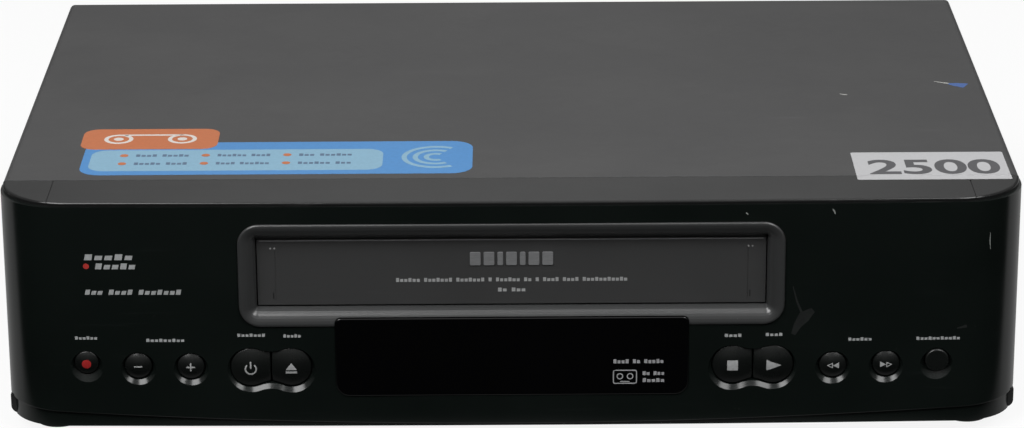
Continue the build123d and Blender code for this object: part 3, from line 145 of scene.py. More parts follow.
def makeEdgeWear():
    tree, given, out = newGroup("edgeWear", {"Width": 0.0006, "Strength": 1.0}, ["Mask"])
    bevel = addNode(tree, "ShaderNodeBevel", samples=4)
    plug(tree, given["Width"], bevel.inputs["Radius"])
    geometry = addNode(tree, "ShaderNodeNewGeometry")
    facing = addNode(tree, "ShaderNodeVectorMath", operation="DOT_PRODUCT")
    plug(tree, bevel.outputs[0], facing.inputs[0])
    plug(tree, geometry.outputs["Normal"], facing.inputs[1])
    edge = rangeNode(tree, facing.outputs["Value"], 0.995, 0.86)
    patchy = rangeNode(tree, noiseNode(tree, stretched(tree, (1, 1, 1)), 260.0, 5.0), 0.42, 0.62)
    worn = mathNode(tree, "MULTIPLY", edge, patchy)
    plug(tree, mathNode(tree, "MULTIPLY", worn, given["Strength"], True), out["Mask"])
    return tree


def makeSettledDust():
    tree, given, out = newGroup("settledDust", {"Film": 0.1, "Specks": 0.2}, ["Mask"])
    geometry = addNode(tree, "ShaderNodeNewGeometry")
    split = addNode(tree, "ShaderNodeSeparateXYZ")
    plug(tree, geometry.outputs["Normal"], split.inputs[0])
    upward = rangeNode(tree, split.outputs["Z"], -0.2, 0.9, 0.15, 1.0)
    vector = stretched(tree, (1, 1, 1))
    patches = rangeNode(tree, noiseNode(tree, vector, 14.0, 6.0, 0.7), 0.4, 0.72)
    film = mathNode(tree, "MULTIPLY", patches, given["Film"])
    cells = addNode(tree, "ShaderNodeTexVoronoi", feature="F1")
    plug(tree, vector, cells.inputs["Vector"])
    cells.inputs["Scale"].default_value = 420.0
    point = rangeNode(tree, cells.outputs["Distance"], 0.13, 0.05)
    chosen = rangeNode(tree, noiseNode(tree, vector, 130.0, 2.0), 0.6, 0.68)
    specks = mathNode(tree, "MULTIPLY", mathNode(tree, "MULTIPLY", point, chosen), given["Specks"])
    total = mathNode(tree, "ADD", film, specks)
    plug(tree, mathNode(tree, "MULTIPLY", total, upward, True), out["Mask"])
    return tree


def makeFineScratches():
    tree, given, out = newGroup("fineScratches", {"Amount": 0.3}, ["Mask"])
    total = 0.0
    for turn, length in ((0.35, 30.0), (-0.6, 22.0), (1.2, 26.0)):
        vector = stretched(tree, (length, 900.0, 900.0), (turn * 0.3, turn, turn))
        line = rangeNode(tree, noiseNode(tree, vector, 1.0, 1.0), 0.735, 0.76)
        total = mathNode(tree, "MAXIMUM", line, total)
    plug(tree, mathNode(tree, "MULTIPLY", total, given["Amount"], True), out["Mask"])
    return tree


def makeHandSmudges():
    tree, given, out = newGroup("handSmudges", {"Amount": 0.1, "Scale": 25.0}, ["Value"])
    vector = stretched(tree, (1, 1, 1))
    large = noiseNode(tree, vector, given["Scale"], 5.0, 0.6)
    swirl = addNode(tree, "ShaderNodeTexNoise")
    plug(tree, vector, swirl.inputs["Vector"])
    plug(tree, mathNode(tree, "MULTIPLY", given["Scale"], 3.1), swirl.inputs["Scale"])
    swirl.inputs["Distortion"].default_value = 1.6
    both = mathNode(tree, "MULTIPLY", rangeNode(tree, large, 0.4, 0.7), swirl.outputs["Fac"])
    plug(tree, mathNode(tree, "MULTIPLY", both, given["Amount"]), out["Value"])
    return tree


groups = {
    "grain": makeMouldGrain(),
    "lines": makeRollingLines(),
    "mottle": makeMottle(),
    "wear": makeEdgeWear(),
    "dust": makeSettledDust(),
    "scratches": makeFineScratches(),
    "smudges": makeHandSmudges(),
}
print("shared effects:", len(groups))


def useGroup(tree, name, **values):
    node = addNode(tree, "ShaderNodeGroup", node_tree=groups[name])
    for label, value in values.items():
        plug(tree, value, node.inputs[label.replace("_", " ")])
    return node.outputs[0]


def withAlpha(colour):
    return (*colour[:3], 1.0)


addedRoughness = {"lines": 0.08, "scratches": 0.3, "dust": 0.5}


def makeFinish(name, look):
    material = bpy.data.materials.new(name)
    material.use_nodes = True
    tree = material.node_tree
    shader = tree.nodes["Principled BSDF"]
    colour = useGroup(
        tree, "mottle", Base=withAlpha(look["colour"]), Amount=look.get("mottle", 0.08),
        Scale=look.get("mottleScale", 22.0))
    rough = useGroup(tree, "smudges", Amount=look.get("smudges", 0.12), Scale=look.get("smudgeScale", 30.0))
    rough = mathNode(tree, "ADD", rough, look["roughness"])
    height = None
    if "grain" in look:
        height = useGroup(tree, "grain", Scale=look.get("grainScale", 2600.0), Depth=1.0)
    if "lines" in look:
        along = look["lineScales"]
        lines = useGroup(tree, "lines", Along_X=along[0], Along_Y=along[1], Along_Z=along[2])
        drawn = rangeNode(tree, lines, 0.3, 0.7, 0.0, look["lines"])
        colour = mixColour(tree, drawn, colour, withAlpha(look["lineColour"]))
        change = addedRoughness["lines"]
        rough = mathNode(tree, "ADD", rough, rangeNode(tree, lines, 0.3, 0.7, -change, change))
        height = lines
    if "scratches" in look:
        marks = useGroup(tree, "scratches", Amount=look["scratches"])
        colour = mixColour(tree, marks, colour, withAlpha(look["scratchColour"]))
        rough = mathNode(tree, "ADD", rough, mathNode(tree, "MULTIPLY", marks, addedRoughness["scratches"]))
    if "wear" in look:
        worn = useGroup(tree, "wear", Width=look.get("wearWidth", 0.5) * mm, Strength=look["wear"])
        colour = mixColour(tree, worn, colour, withAlpha(look["wearColour"]))
    if "dust" in look:
        film, specks = look["dust"]
        dust = useGroup(tree, "dust", Film=film, Specks=specks)
        colour = mixColour(tree, dust, colour, withAlpha(look.get("dustColour", (0.36, 0.35, 0.33))))
        rough = mathNode(tree, "ADD", rough, mathNode(tree, "MULTIPLY", dust, addedRoughness["dust"]))
    plug(tree, colour, shader.inputs["Base Color"])
    plug(tree, mathNode(tree, "MINIMUM", rough, 1.0), shader.inputs["Roughness"])
    shader.inputs["Metallic"].default_value = look.get("metallic", 0.0)
    shader.inputs["Specular IOR Level"].default_value = look.get("specular", 0.5)
    shader.inputs["Coat Weight"].default_value = look.get("coat", 0.0)
    shader.inputs["Coat Roughness"].default_value = look.get("coatRoughness", 0.05)
    shader.inputs["Transmission Weight"].default_value = look.get("glass", 0.0)
    if height is not None:
        bump = addNode(tree, "ShaderNodeBump")
        bump.inputs["Strength"].default_value = 1.0
        bump.inputs["Distance"].default_value = look.get("grain", look.get("lineDepth", 0.004)) * mm
        plug(tree, height, bump.inputs["Height"])
        plug(tree, bump.outputs[0], shader.inputs["Normal"])
    return material


def paint(material, *names):
    for name in names:
        slots = nodes[name].material_slots
        if not slots:
            nodes[name].data.materials.append(material)
        for place in slots:
            place.material = material


# case finishes
topCover = {
    "colour": (0.049, 0.049, 0.0495), "roughness": 0.42, "grain": 0.018, "grainScale": 1500.0,
    "mottle": 0.045, "mottleScale": 9.0, "smudges": 0.1, "dust": (0.03, 0.2), "scratches": 0.16,
    "scratchColour": (0.16, 0.16, 0.16), "wear": 0.4, "wearColour": (0.16, 0.16, 0.16),
    "wearWidth": 0.5,
}
paint(makeFinish("coverPaint", topCover), "top_cover")

topTrim = {
    "colour": (0.0075, 0.0078, 0.0078), "roughness": 0.15, "mottle": 0.08, "smudges": 0.1,
    "smudgeScale": 18.0, "dust": (0.012, 0.12), "wear": 0.12, "wearColour": (0.06, 0.06, 0.06),
    "wearWidth": 0.25, "scratches": 0.1, "scratchColour": (0.1, 0.1, 0.1),
}
paint(makeFinish("trimPlastic", topTrim), "top_trim")

frontPanel = {
    "colour": (0.0048, 0.0068, 0.006), "roughness": 0.18, "mottle": 0.12, "smudges": 0.1,
    "smudgeScale": 16.0, "dust": (0.006, 0.09), "scratches": 0.02, "scratchColour": (0.09, 0.1, 0.1),
    "wear": 0.12, "wearColour": (0.06, 0.065, 0.062), "wearWidth": 0.3,
}
paint(makeFinish("glossPanel", frontPanel), "front_panel")

cassetteBezel = {
    "colour": (0.034, 0.035, 0.0353), "roughness": 0.26, "specular": 0.72, "grain": 0.006,
    "grainScale": 3600.0, "mottle": 0.05, "smudges": 0.02, "dust": (0.005, 0.04),
}
paint(makeFinish("bezelPaint", cassetteBezel), "cassette_bezel")

cassetteFlap = {
    "colour": (0.0385, 0.0388, 0.039), "roughness": 0.4, "grain": 0.007, "grainScale": 3200.0,
    "mottle": 0.04, "smudges": 0.12, "dust": (0.008, 0.05), "scratches": 0.06,
    "scratchColour": (0.1, 0.1, 0.1), "wear": 0.25, "wearColour": (0.1, 0.1, 0.1), "wearWidth": 0.25,
}
paint(makeFinish("flapPlastic", cassetteFlap), "cassette_flap")

displayWindow = {
    "colour": (0.0016, 0.0016, 0.0018), "roughness": 0.03, "mottle": 0.1, "smudges": 0.04,
    "dust": (0.001, 0.04), "scratches": 0.015, "scratchColour": (0.05, 0.05, 0.05), "coat": 0.3,
    "coatRoughness": 0.02,
}
paint(makeFinish("windowAcrylic", displayWindow), "display_window")

buttonCaps = {
    "colour": (0.005, 0.006, 0.0056), "roughness": 0.26, "mottle": 0.1, "smudges": 0.12,
    "smudgeScale": 90.0, "dust": (0.004, 0.06), "wear": 0.2, "wearColour": (0.05, 0.052, 0.052),
    "wearWidth": 0.25,
}
buttonNodes = sorted(name for name in nodes if name.endswith("_button"))
paint(makeFinish("capPlastic", buttonCaps), *buttonNodes)

rearPanel = {
    "colour": (0.035, 0.035, 0.036), "roughness": 0.5, "grain": 0.014, "grainScale": 1700.0,
    "dust": (0.05, 0.2), "scratches": 0.12, "scratchColour": (0.14, 0.14, 0.14), "wear": 0.5,
    "wearColour": (0.3, 0.3, 0.3),
}
paint(makeFinish("rearPaint", rearPanel), "rear_panel")

baseFrame = {
    "colour": (0.012, 0.0123, 0.0126), "roughness": 0.5, "grain": 0.016, "grainScale": 1400.0,
    "dust": (0.05, 0.15), "wear": 0.3, "wearColour": (0.07, 0.07, 0.07),
}
paint(makeFinish("basePlastic", baseFrame), "base_frame")

feet = {
    "colour": (0.014, 0.014, 0.014), "roughness": 0.78, "grain": 0.03, "grainScale": 900.0,
    "dust": (0.12, 0.2), "wear": 0.3, "wearColour": (0.05, 0.05, 0.05),
}
paint(makeFinish("footRubber", feet), "feet")

# metal finishes
zincSheet = {
    "colour": (0.56, 0.57, 0.56), "metallic": 1.0, "roughness": 0.34, "lines": 0.35,
    "lineColour": (0.42, 0.43, 0.43), "lineScales": (25.0, 700.0, 700.0), "lineDepth": 0.003,
    "mottle": 0.1, "mottleScale": 60.0, "dust": (0.05, 0.1), "scratches": 0.2,
    "scratchColour": (0.7, 0.7, 0.7),
}
paint(
    makeFinish("zincSheet", zincSheet), "bottom_plate", "deck_plate", "cassette_carriage",
    "carriage_runners", "carriage_rails", "tuner_module")

brightSteel = {
    "colour": (0.66, 0.66, 0.65), "metallic": 1.0, "roughness": 0.24, "lines": 0.25,
    "lineColour": (0.5, 0.5, 0.5), "lineScales": (900.0, 900.0, 60.0), "lineDepth": 0.002,
    "mottle": 0.06, "wear": 0.3, "wearColour": (0.8, 0.8, 0.8),
}
paint(
    makeFinish("brightSteel", brightSteel), "capstan", "capstan_motor", "loading_motor",
    "audio_control_head", "erase_head", "tension_arm", "pinch_arm", "flap_spring")

turnedAluminium = {
    "colour": (0.74, 0.75, 0.76), "metallic": 1.0, "roughness": 0.2, "lines": 0.3,
    "lineColour": (0.6, 0.6, 0.61), "lineScales": (40.0, 40.0, 2600.0), "lineDepth": 0.002,
    "mottle": 0.04,
}
paint(makeFinish("turnedAluminium", turnedAluminium), "head_drum", "drum_base", "heat_sink")

nickelPlate = {
    "colour": (0.73, 0.7, 0.64), "metallic": 1.0, "roughness": 0.18, "mottle": 0.08, "smudges": 0.2,
    "scratches": 0.3, "scratchColour": (0.85, 0.83, 0.78), "dust": (0.04, 0.1),
}
paint(makeFinish("nickelPlate", nickelPlate), "aerial_sockets", "supply_guide", "takeup_guide")

blackScrews = {
    "colour": (0.07, 0.07, 0.072), "metallic": 0.8, "roughness": 0.36, "mottle": 0.15, "wear": 0.8,
    "wearColour": (0.4, 0.4, 0.4), "wearWidth": 0.3, "smudges": 0.2,
}
paint(makeFinish("blackScrews", blackScrews), "case_screws")

transformerCore = {
    "colour": (0.1, 0.09, 0.08), "roughness": 0.5, "grain": 0.02, "grainScale": 1200.0, "mottle": 0.2,
    "dust": (0.1, 0.2), "wear": 0.4, "wearColour": (0.2, 0.19, 0.18),
}
paint(makeFinish("transformerCore", transformerCore), "power_transformer")

# plastic, rubber and board finishes
socketPlastic = {
    "colour": (0.018, 0.018, 0.019), "roughness": 0.42, "grain": 0.01, "grainScale": 1900.0,
    "dust": (0.06, 0.15), "wear": 0.35, "wearColour": (0.09, 0.09, 0.09),
}
paint(
    makeFinish("socketPlastic", socketPlastic), "scart_sockets", "mains_inlet", "key_switches",
    "board_components")

reelPlastic = {
    "colour": (0.028, 0.028, 0.03), "roughness": 0.36, "grain": 0.006, "mottle": 0.08, "wear": 0.4,
    "wearColour": (0.12, 0.12, 0.12),
}
paint(makeFinish("reelPlastic", reelPlastic), "supply_reel", "takeup_reel")

whiteAcetal = {
    "colour": (0.78, 0.77, 0.72), "roughness": 0.38, "grain": 0.004, "mottle": 0.05, "smudges": 0.15,
    "dust": (0.1, 0.1), "dustColour": (0.3, 0.29, 0.27),
}
paint(makeFinish("whiteAcetal", whiteAcetal), "idler_gear", "cam_gear", "loading_pinion", "clutch_pulley")

groundRubber = {
    "colour": (0.016, 0.016, 0.017), "roughness": 0.66, "grain": 0.01, "grainScale": 2400.0,
    "mottle": 0.15, "smudges": 0.15,
}
paint(makeFinish("groundRubber", groundRubber), "pinch_roller", "drive_belt")

boardLaminate = {
    "colour": (0.3, 0.19, 0.06), "roughness": 0.3, "lines": 0.3, "lineColour": (0.2, 0.13, 0.045),
    "lineScales": (160.0, 160.0, 160.0), "lineDepth": 0.01, "mottle": 0.15, "dust": (0.08, 0.2),
    "coat": 0.4, "coatRoughness": 0.15,
}
paint(makeFinish("boardLaminate", boardLaminate), "main_board", "power_board", "front_board")

displayGlass = {
    "colour": (0.5, 0.62, 0.6), "roughness": 0.04, "glass": 0.75, "mottle": 0.05, "smudges": 0.05,
}
paint(makeFinish("displayGlass", displayGlass), "fluorescent_display")

ribbonInsulation = {
    "colour": (0.62, 0.62, 0.6), "roughness": 0.42, "lines": 0.5, "lineColour": (0.42, 0.42, 0.41),
    "lineScales": (790.0, 3.0, 3.0), "lineDepth": 0.08, "mottle": 0.04,
}
paint(makeFinish("ribbonInsulation", ribbonInsulation), "ribbon_cable")

capacitorSleeve = {
    "colour": (0.02, 0.035, 0.09), "roughness": 0.24, "mottle": 0.1, "smudges": 0.15, "coat": 0.4,
    "dust": (0.08, 0.15),
}
paint(makeFinish("capacitorSleeve", capacitorSleeve), "smoothing_capacitor")
print("finishes on all", len(nodes), "nodes")


# thin printed and stuck-on pieces, measured in mm
prints = {"lift": 0.03, "thick": 0.07, "lowLift": 0.02, "scuffLift": 0.015}
farOut = 300  # outside the case on every side
surfaces = {}
ways = {"front": Vector((0, 1, 0)), "top": Vector((0, 0, -1)), "back": Vector((0, -1, 0))}


def surfaceOf(name):
    if name not in surfaces:
        mesh = nodes[name].data
        places = [vert.co for vert in mesh.vertices]
        surfaces[name] = BVHTree.FromPolygons(places, [face.vertices for face in mesh.polygons])
    return surfaces[name]


def landing(side, under, a, b):  # where a point of a print meets the surfaces under it
    start = {"front": (a, -farOut, b), "top": (a, b, farOut), "back": (a, farOut, b)}[side]
    hits = [surfaceOf(name).ray_cast(Vector(start) * mm, ways[side])[0] for name in under]
    return min((hit for hit in hits if hit), key=lambda hit: hit.dot(ways[side]))


def bar(wide, tall, x=0.0, z=0.0, lean=0.0):
    x0, x1, z0, z1 = x - wide / 2, x + wide / 2, z - tall / 2, z + tall / 2
    return [[(x0 - lean, z0), (x1 - lean, z0), (x1 + lean, z1), (x0 + lean, z1)]]


def around(radius, start=0.0, end=360.0, steps=36, x=0.0, z=0.0):
    turns = [math.radians(start + (end - start) * step / steps) for step in range(steps + 1)]
    return [(x + radius * math.cos(turn), z + radius * math.sin(turn)) for turn in turns]


def band(outer, inner):
    return [[outer[k], outer[k + 1], inner[k + 1], inner[k]] for k in range(len(outer) - 1)]


def ring(radius, wide, start=0.0, end=360.0, x=0.0, z=0.0, steps=36):
    return band(around(radius, start, end, steps, x, z), around(radius - wide, start, end, steps, x, z))


def disc(radius, x=0.0, z=0.0, rings=4, steps=28):
    faces = []
    for level in range(rings):
        outer = around(radius * (level + 1) / rings, 0, 360, steps, x, z)
        if level == 0:
            faces += [[(x, z), outer[k], outer[k + 1]] for k in range(steps)]
        else:
            faces += band(outer, around(radius * level / rings, 0, 360, steps, x, z))
    return faces


def roundedOutline(x0, x1, z0, z1, radius, steps=8):
    corners = ((x1, z1, -1, -1, 0), (x0, z1, 1, -1, 90), (x0, z0, 1, 1, 180), (x1, z0, -1, 1, 270))
    points = []
    for x, z, inX, inZ, start in corners:
        points += around(radius, start, start + 90, steps, x + inX * radius, z + inZ * radius)
    return points


def outlineBand(x0, x1, z0, z1, radius, wide):
    outer = roundedOutline(x0, x1, z0, z1, radius)
    inner = roundedOutline(x0 + wide, x1 - wide, z0 + wide, z1 - wide, max(radius - wide, 0.05))
    return band(outer + outer[:1], inner + inner[:1])


def arrow(wide, tall, x=0.0, z=0.0, line=0.0):
    outer = [(x - wide / 2, z - tall / 2), (x + wide / 2, z), (x - wide / 2, z + tall / 2)]
    if not line:
        return [outer]
    middle = x - wide / 6
    share = 1 - 3 * line / min(wide, tall)
    inner = [(middle + (a - middle) * share, z + (b - z) * share) for a, b in outer]
    return band(outer + outer[:1], inner + inner[:1])


def mirrored(faces):
    return [[(-a, b) for a, b in reversed(face)] for face in faces]


blockRow = {"wordGap": 0.8, "wide": 0.74, "dip": 0.24}  # shares of a block's step, and of its height


def blocks(x, z, wide, tall, words, lean=0.0):  # a row of plain blocks, words holds how many stand together
    cells = sum(words) + blockRow["wordGap"] * (len(words) - 1)
    step = wide / cells
    left = x - wide / 2
    faces = []
    for word in words:
        for place in range(word):
            dip = 0.0 if place % 3 == 0 else blockRow["dip"] * tall
            faces += bar(blockRow["wide"] * step, tall - dip, left + step / 2, z - dip / 2, lean)
            left += step
        left += blockRow["wordGap"] * step
    return faces


def addLayer(
        shape, side, under, faces, centre=(0, 0), lift=prints["lift"], thick=prints["thick"],
        cuts=0, slot=0):
    layer = bmesh.new()
    made = {}
    for face in faces:
        corners = []
        for a, b in face:
            key = (round(a, 4), round(b, 4))
            if key not in made:
                made[key] = layer.verts.new((a + centre[0], b + centre[1], 0))
            corners.append(made[key])
        layer.faces.new(corners)
    if cuts:
        bmesh.ops.subdivide_edges(layer, edges=layer.edges[:], cuts=cuts, use_grid_fill=True)
    way = ways[side]
    for vert in layer.verts:
        vert.co = landing(side, under, vert.co.x, vert.co.y) - way * lift * mm
    region = bmesh.ops.extrude_face_region(layer, geom=layer.faces[:], use_keep_orig=True)
    deeper = [item for item in region["geom"] if isinstance(item, bmesh.types.BMVert)]
    bmesh.ops.translate(layer, verts=deeper, vec=way * thick * mm)
    bmesh.ops.recalc_face_normals(layer, faces=layer.faces[:])
    for face in layer.faces:
        face.material_index = slot
    mesh = bpy.data.meshes.new("layer")
    layer.to_mesh(mesh)
    layer.free()
    shape.from_mesh(mesh)
    bpy.data.meshes.remove(mesh)


def finishPiece(name, body, shape, materials):
    mesh = bpy.data.meshes.new(name)
    shape.to_mesh(mesh)
    shape.free()
    for material in materials:
        mesh.materials.append(material)
    piece = bpy.data.objects.new(name, mesh)
    bpy.context.scene.collection.objects.link(piece)
    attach(piece, body)
    return piece


def inkLook(colour, rough=0.45, patchy=0.12, **more):
    look = {"colour": colour, "roughness": rough, "mottle": patchy, "mottleScale": 900.0, "smudges": 0.15}
    look.update(more)
    return look


# button symbols
symbols = {
    "ink": (0.34, 0.345, 0.345), "recordRed": (0.34, 0.022, 0.022), "recordDot": 1.75, "line": 0.55,
    "sign": 3.2, "square": 4.0, "play": (5.6, 4.2, 0.3), "double": 2.3, "openLine": 0.35,
    "ejectHead": (2.1, -0.75, 1.95), "ejectBar": (0.8, -1.75),
    "powerRing": (2.3, 130, 410, -0.3), "powerStroke": (2.7, 1.25),
}
capInk = makeFinish("capInk", inkLook(symbols["ink"]))
recordInk = makeFinish("recordInk", inkLook(symbols["recordRed"], 0.2, 0.06))
line, sign, double = symbols["line"], symbols["sign"], symbols["double"]
minus = bar(sign, line)
plus = minus + bar(line, (sign - line) / 2, 0, (sign + line) / 4)
plus += bar(line, (sign - line) / 2, 0, -(sign + line) / 4)
halfHead, foot, tip = symbols["ejectHead"]
barTall, barMiddle = symbols["ejectBar"]
eject = [[(-halfHead, foot), (halfHead, foot), (0, tip)]] + bar(2 * halfHead, barTall, 0, barMiddle)
radius, start, end, drop = symbols["powerRing"]
tall, middle = symbols["powerStroke"]
power = ring(radius, line, start, end, 0, drop) + bar(line, tall, 0, middle)
forward = arrow(double, double, -double / 2) + arrow(double, double, double / 2, 0, symbols["openLine"])
capPrints = {  # each cap's middle, symbol, ink and cuts, which let the symbol follow the curved cap
    "record_button": ((-158.4, 30.6), disc(symbols["recordDot"]), recordInk, 0),
    "programme_down_button": ((-139.2, 29.6), minus, capInk, 5),
    "programme_up_button": ((-119.6, 29.4), plus, capInk, 3),
    "standby_button": ((-97.25, 29.0), power, capInk, 4),
    "eject_button": ((-82.15, 29.0), eject, capInk, 5),
    "stop_button": ((82.05, 29.0), bar(symbols["square"], symbols["square"]), capInk, 7),
    "play_button": ((97.15, 29.0), arrow(*symbols["play"]), capInk, 7),
    "rewind_button": ((119.4, 28.6), mirrored(forward), capInk, 3),
    "forward_button": ((139.3, 28.8), forward, capInk, 3),
}
for node, (centre, faces, ink, cuts) in capPrints.items():
    shape = bmesh.new()
    addLayer(shape, "front", [node], faces, centre, cuts=cuts)
    finishPiece(node.replace("_button", "_symbol"), node, shape, [ink])
print("button symbols:", len(capPrints))

# plain marks on the front: middle, width, height and counts of blocks
panelMarks = {
    "ink": (0.33, 0.34, 0.34), "red": (0.4, 0.03, 0.025), "tall": 1.25, "lean": 0.22,
    "redDot": (-157.0, 69.2, 1.1),
    "captions": [
        (-158.2, 40.8, 8.6, (6,)), (-128.8, 39.9, 14.5, (9,)), (-96.8, 41.9, 10.6, (7,)),
        (-81.6, 41.6, 6.8, (5,)), (82.1, 40.8, 6.6, (4,)), (97.3, 41.0, 6.6, (4,)),
        (129.3, 38.8, 9.0, (6,)), (158.4, 38.8, 16.5, (11,)),
    ],
    "slanted": [
        (-148.6, 72.8, 18.6, 2.3, (5,)), (-146.2, 69.2, 15.4, 2.3, (5,)),
        (-140.0, 59.0, 36.0, 2.0, (3, 4, 7)),
    ],
}
panelInk = makeFinish("panelInk", inkLook(panelMarks["ink"]))
redInk = makeFinish("redInk", inkLook(panelMarks["red"]))
shape = bmesh.new()
for x, z, wide, words in panelMarks["captions"]:
    addLayer(shape, "front", ["front_panel"], blocks(x, z, wide, panelMarks["tall"], words))
for x, z, wide, tall, words in panelMarks["slanted"]:
    addLayer(shape, "front", ["front_panel"], blocks(x, z, wide, tall, words, panelMarks["lean"]))
x, z, radius = panelMarks["redDot"]
addLayer(shape, "front", ["front_panel"], disc(radius, x, z), slot=1)
finishPiece("panel_marks", "case", shape, [panelInk, redInk])

doorBadge = {
    "colour": (0.26, 0.265, 0.27), "bars": (4.0, 4.0, 2.1, 4.0, 2.1, 4.0, 4.0), "gap": 1.1, "tall": 5.2,
    "middle": 70.2, "corner": 0.5, "thick": 0.4, "root": 0.05, "softEdge": 0.1,
}
badgeMetal = makeFinish("badgeMetal", {
    "colour": doorBadge["colour"], "metallic": 0.35, "roughness": 0.38, "lines": 0.5,
    "lineColour": (0.16, 0.16, 0.165), "lineScales": (260.0, 260.0, 1900.0), "lineDepth": 0.002,
    "wear": 0.6, "wearColour": (0.42, 0.42, 0.42), "wearWidth": 0.15,
})
shape = bmesh.new()
gap, thick, halfTall = doorBadge["gap"], doorBadge["thick"], doorBadge["tall"] / 2
left = -(sum(doorBadge["bars"]) + gap * (len(doorBadge["bars"]) - 1)) / 2
for wide in doorBadge["bars"]:
    outline = roundedOutline(left, left + wide, -halfTall, halfTall, doorBadge["corner"], 4)
    centre = (0, doorBadge["middle"])
    addLayer(shape, "front", ["cassette_flap"], [outline], centre, thick, thick + doorBadge["root"])
    left += wide + gap
badge = finishPiece("door_badge", "flap", shape, [badgeMetal])
edge = badge.modifiers.new("softEdge", "BEVEL")
edge.width, edge.segments = doorBadge["softEdge"] * mm, 2

doorMarks = {
    "ink": (0.3, 0.305, 0.305), "paintedLedgeHighlight": (0.2, 0.2, 0.202), "dark": (0.004, 0.004, 0.004),
    "rows": [(0, 61.9, 86, 1.5, (6, 7, 7, 1, 6, 2, 1, 4, 4, 11)), (0, 57.9, 10.6, 1.5, (2, 3))],
    "edge": (93.2, 0.42, 77.6), "topDot": (88.3, 74.6, 0.34), "dotGap": 0.75,
    "tick": (88.3, 56.0, 0.5, 2.4),
}
doorInk = makeFinish("doorInk", inkLook(doorMarks["ink"]))
# painted highlight: the light ink for the strip on the flap's top ledge
paintedLedgeHighlight = makeFinish("paintedLedgeHighlight", inkLook(doorMarks["paintedLedgeHighlight"], 0.3))
tickDark = makeFinish("tickDark", inkLook(doorMarks["dark"], 0.6))
shape = bmesh.new()
for x, z, wide, tall, words in doorMarks["rows"]:
    addLayer(shape, "front", ["cassette_flap"], blocks(x, z, wide, tall, words))
# painted highlight: a light strip along the flap's top edge, where the ledge catches light
reach, tall, z = doorMarks["edge"]
addLayer(shape, "front", ["cassette_flap"], bar(2 * reach, tall, 0, z), lift=prints["lowLift"], slot=1)
for way in (-1, 1):
    x, z, radius = doorMarks["topDot"]
    for shift in (-doorMarks["dotGap"], doorMarks["dotGap"]):
        addLayer(shape, "front", ["cassette_flap"], disc(radius, way * x + shift, z, 1, 12))
    x, z, wide, tall = doorMarks["tick"]
    addLayer(shape, "front", ["cassette_flap"], bar(wide, tall, way * x, z), slot=2)
finishPiece("door_marks", "flap", shape, [doorInk, paintedLedgeHighlight, tickDark])

windowMarks = {
    "ink": (0.3, 0.3, 0.31), "line": 0.4, "cassette": (37.5, 46.5, 22.0, 27.6, 0.9),
    "reels": (1.25, 1.9, 25.0), "slot": (3.4, 22.9),
    "rows": [
        (52.6, 26.2, 8.4, 1.5, (2, 3)), (52.6, 23.4, 8.4, 1.5, (5,)), (47.0, 31.0, 19.0, 1.6, (4, 2, 5)),
    ],
}
windowInk = makeFinish("windowInk", inkLook(windowMarks["ink"]))
thin = windowMarks["line"]
picture = outlineBand(*windowMarks["cassette"], thin)
middle = sum(windowMarks["cassette"][:2]) / 2
radius, apart, z = windowMarks["reels"]
for x in (middle - apart, middle + apart):
    picture += ring(radius, thin, x=x, z=z, steps=20)
wide, z = windowMarks["slot"]
picture += bar(wide, thin, middle, z)
for x, z, wide, tall, words in windowMarks["rows"]:
    picture += blocks(x, z, wide, tall, words)
shape = bmesh.new()
addLayer(shape, "front", ["display_window"], picture)
finishPiece("window_marks", "case", shape, [windowInk])
print("front marks made")


# stickers on the cover
promoSticker = {
    "blue": (0.065, 0.25, 0.56), "pale": (0.23, 0.42, 0.56), "orange": (0.52, 0.15, 0.05),
    "white": (0.7, 0.66, 0.62), "dark": (0.09, 0.15, 0.24), "thick": 0.05, "step": 0.02,
    "inkThick": 0.03, "strip": (-162.5, -14.5, -100.6, -62.6), "corner": 8, "field": (3, 34, 4.5, 9),
    "fieldCorner": 6, "waves": {"count": 3, "largest": 13.0, "closer": 4.2, "wide": 2.0, "in": 14.0},
    "words": [(5, 4), (4, 6), (6, 3)], "firstWord": (30, 22.5), "wordStep": (31, 9.5),
    "wordSize": (20.5, 2.7), "spot": (1.6, 14.5),
}
promoTab = {
    "place": (-165.0, -112.5, -70.5, -46.0), "corner": 6, "in": 14, "reel": (5.6, 1.6), "hub": 1.9,
    "tape": (1.5, 4.85), "lift": 0.09, "thick": 0.1, "inkLift": 0.105, "inkThick": 0.02,
}
stickerInks = [
    makeFinish("sticker" + key.capitalize(), inkLook(promoSticker[key], 0.34, 0.05, dust=(0.04, 0.1)))
    for key in ("blue", "pale", "orange", "white", "dark")
]


def addSticker(shape, layers):  # each layer of ink lies a little above the last
    for level, (faces, slot) in enumerate(layers):
        lift = promoSticker["thick"] + promoSticker["step"] * level
        thick = promoSticker["inkThick"] if level else prints["thick"]
        addLayer(shape, "top", ["top_cover"], faces, lift=lift, thick=thick, slot=slot)


x0, x1, y0, y1 = promoSticker["strip"]
whole = roundedOutline(x0, x1, y0, y1, promoSticker["corner"])
inLeft, inRight, inFront, inBack = promoSticker["field"]
field = roundedOutline(x0 + inLeft, x1 - inRight, y0 + inFront, y1 - inBack, promoSticker["fieldCorner"])
arcs = promoSticker["waves"]
waves = []
for k in range(arcs["count"]):
    radius = arcs["largest"] - arcs["closer"] * k
    waves += ring(radius, arcs["wide"], 60, 300, x1 - arcs["in"], (y0 + y1) / 2)
rows = []
spots = []
spotRadius, spotBefore = promoSticker["spot"]
for column, parts in enumerate(promoSticker["words"]):
    for row in range(2):
        x = x0 + promoSticker["firstWord"][0] + promoSticker["wordStep"][0] * column
        y = y0 + promoSticker["firstWord"][1] - promoSticker["wordStep"][1] * row
        rows += blocks(x, y, *promoSticker["wordSize"], parts if row else parts[::-1])
        spots += disc(spotRadius, x - spotBefore, y, 2, 18)
shape = bmesh.new()
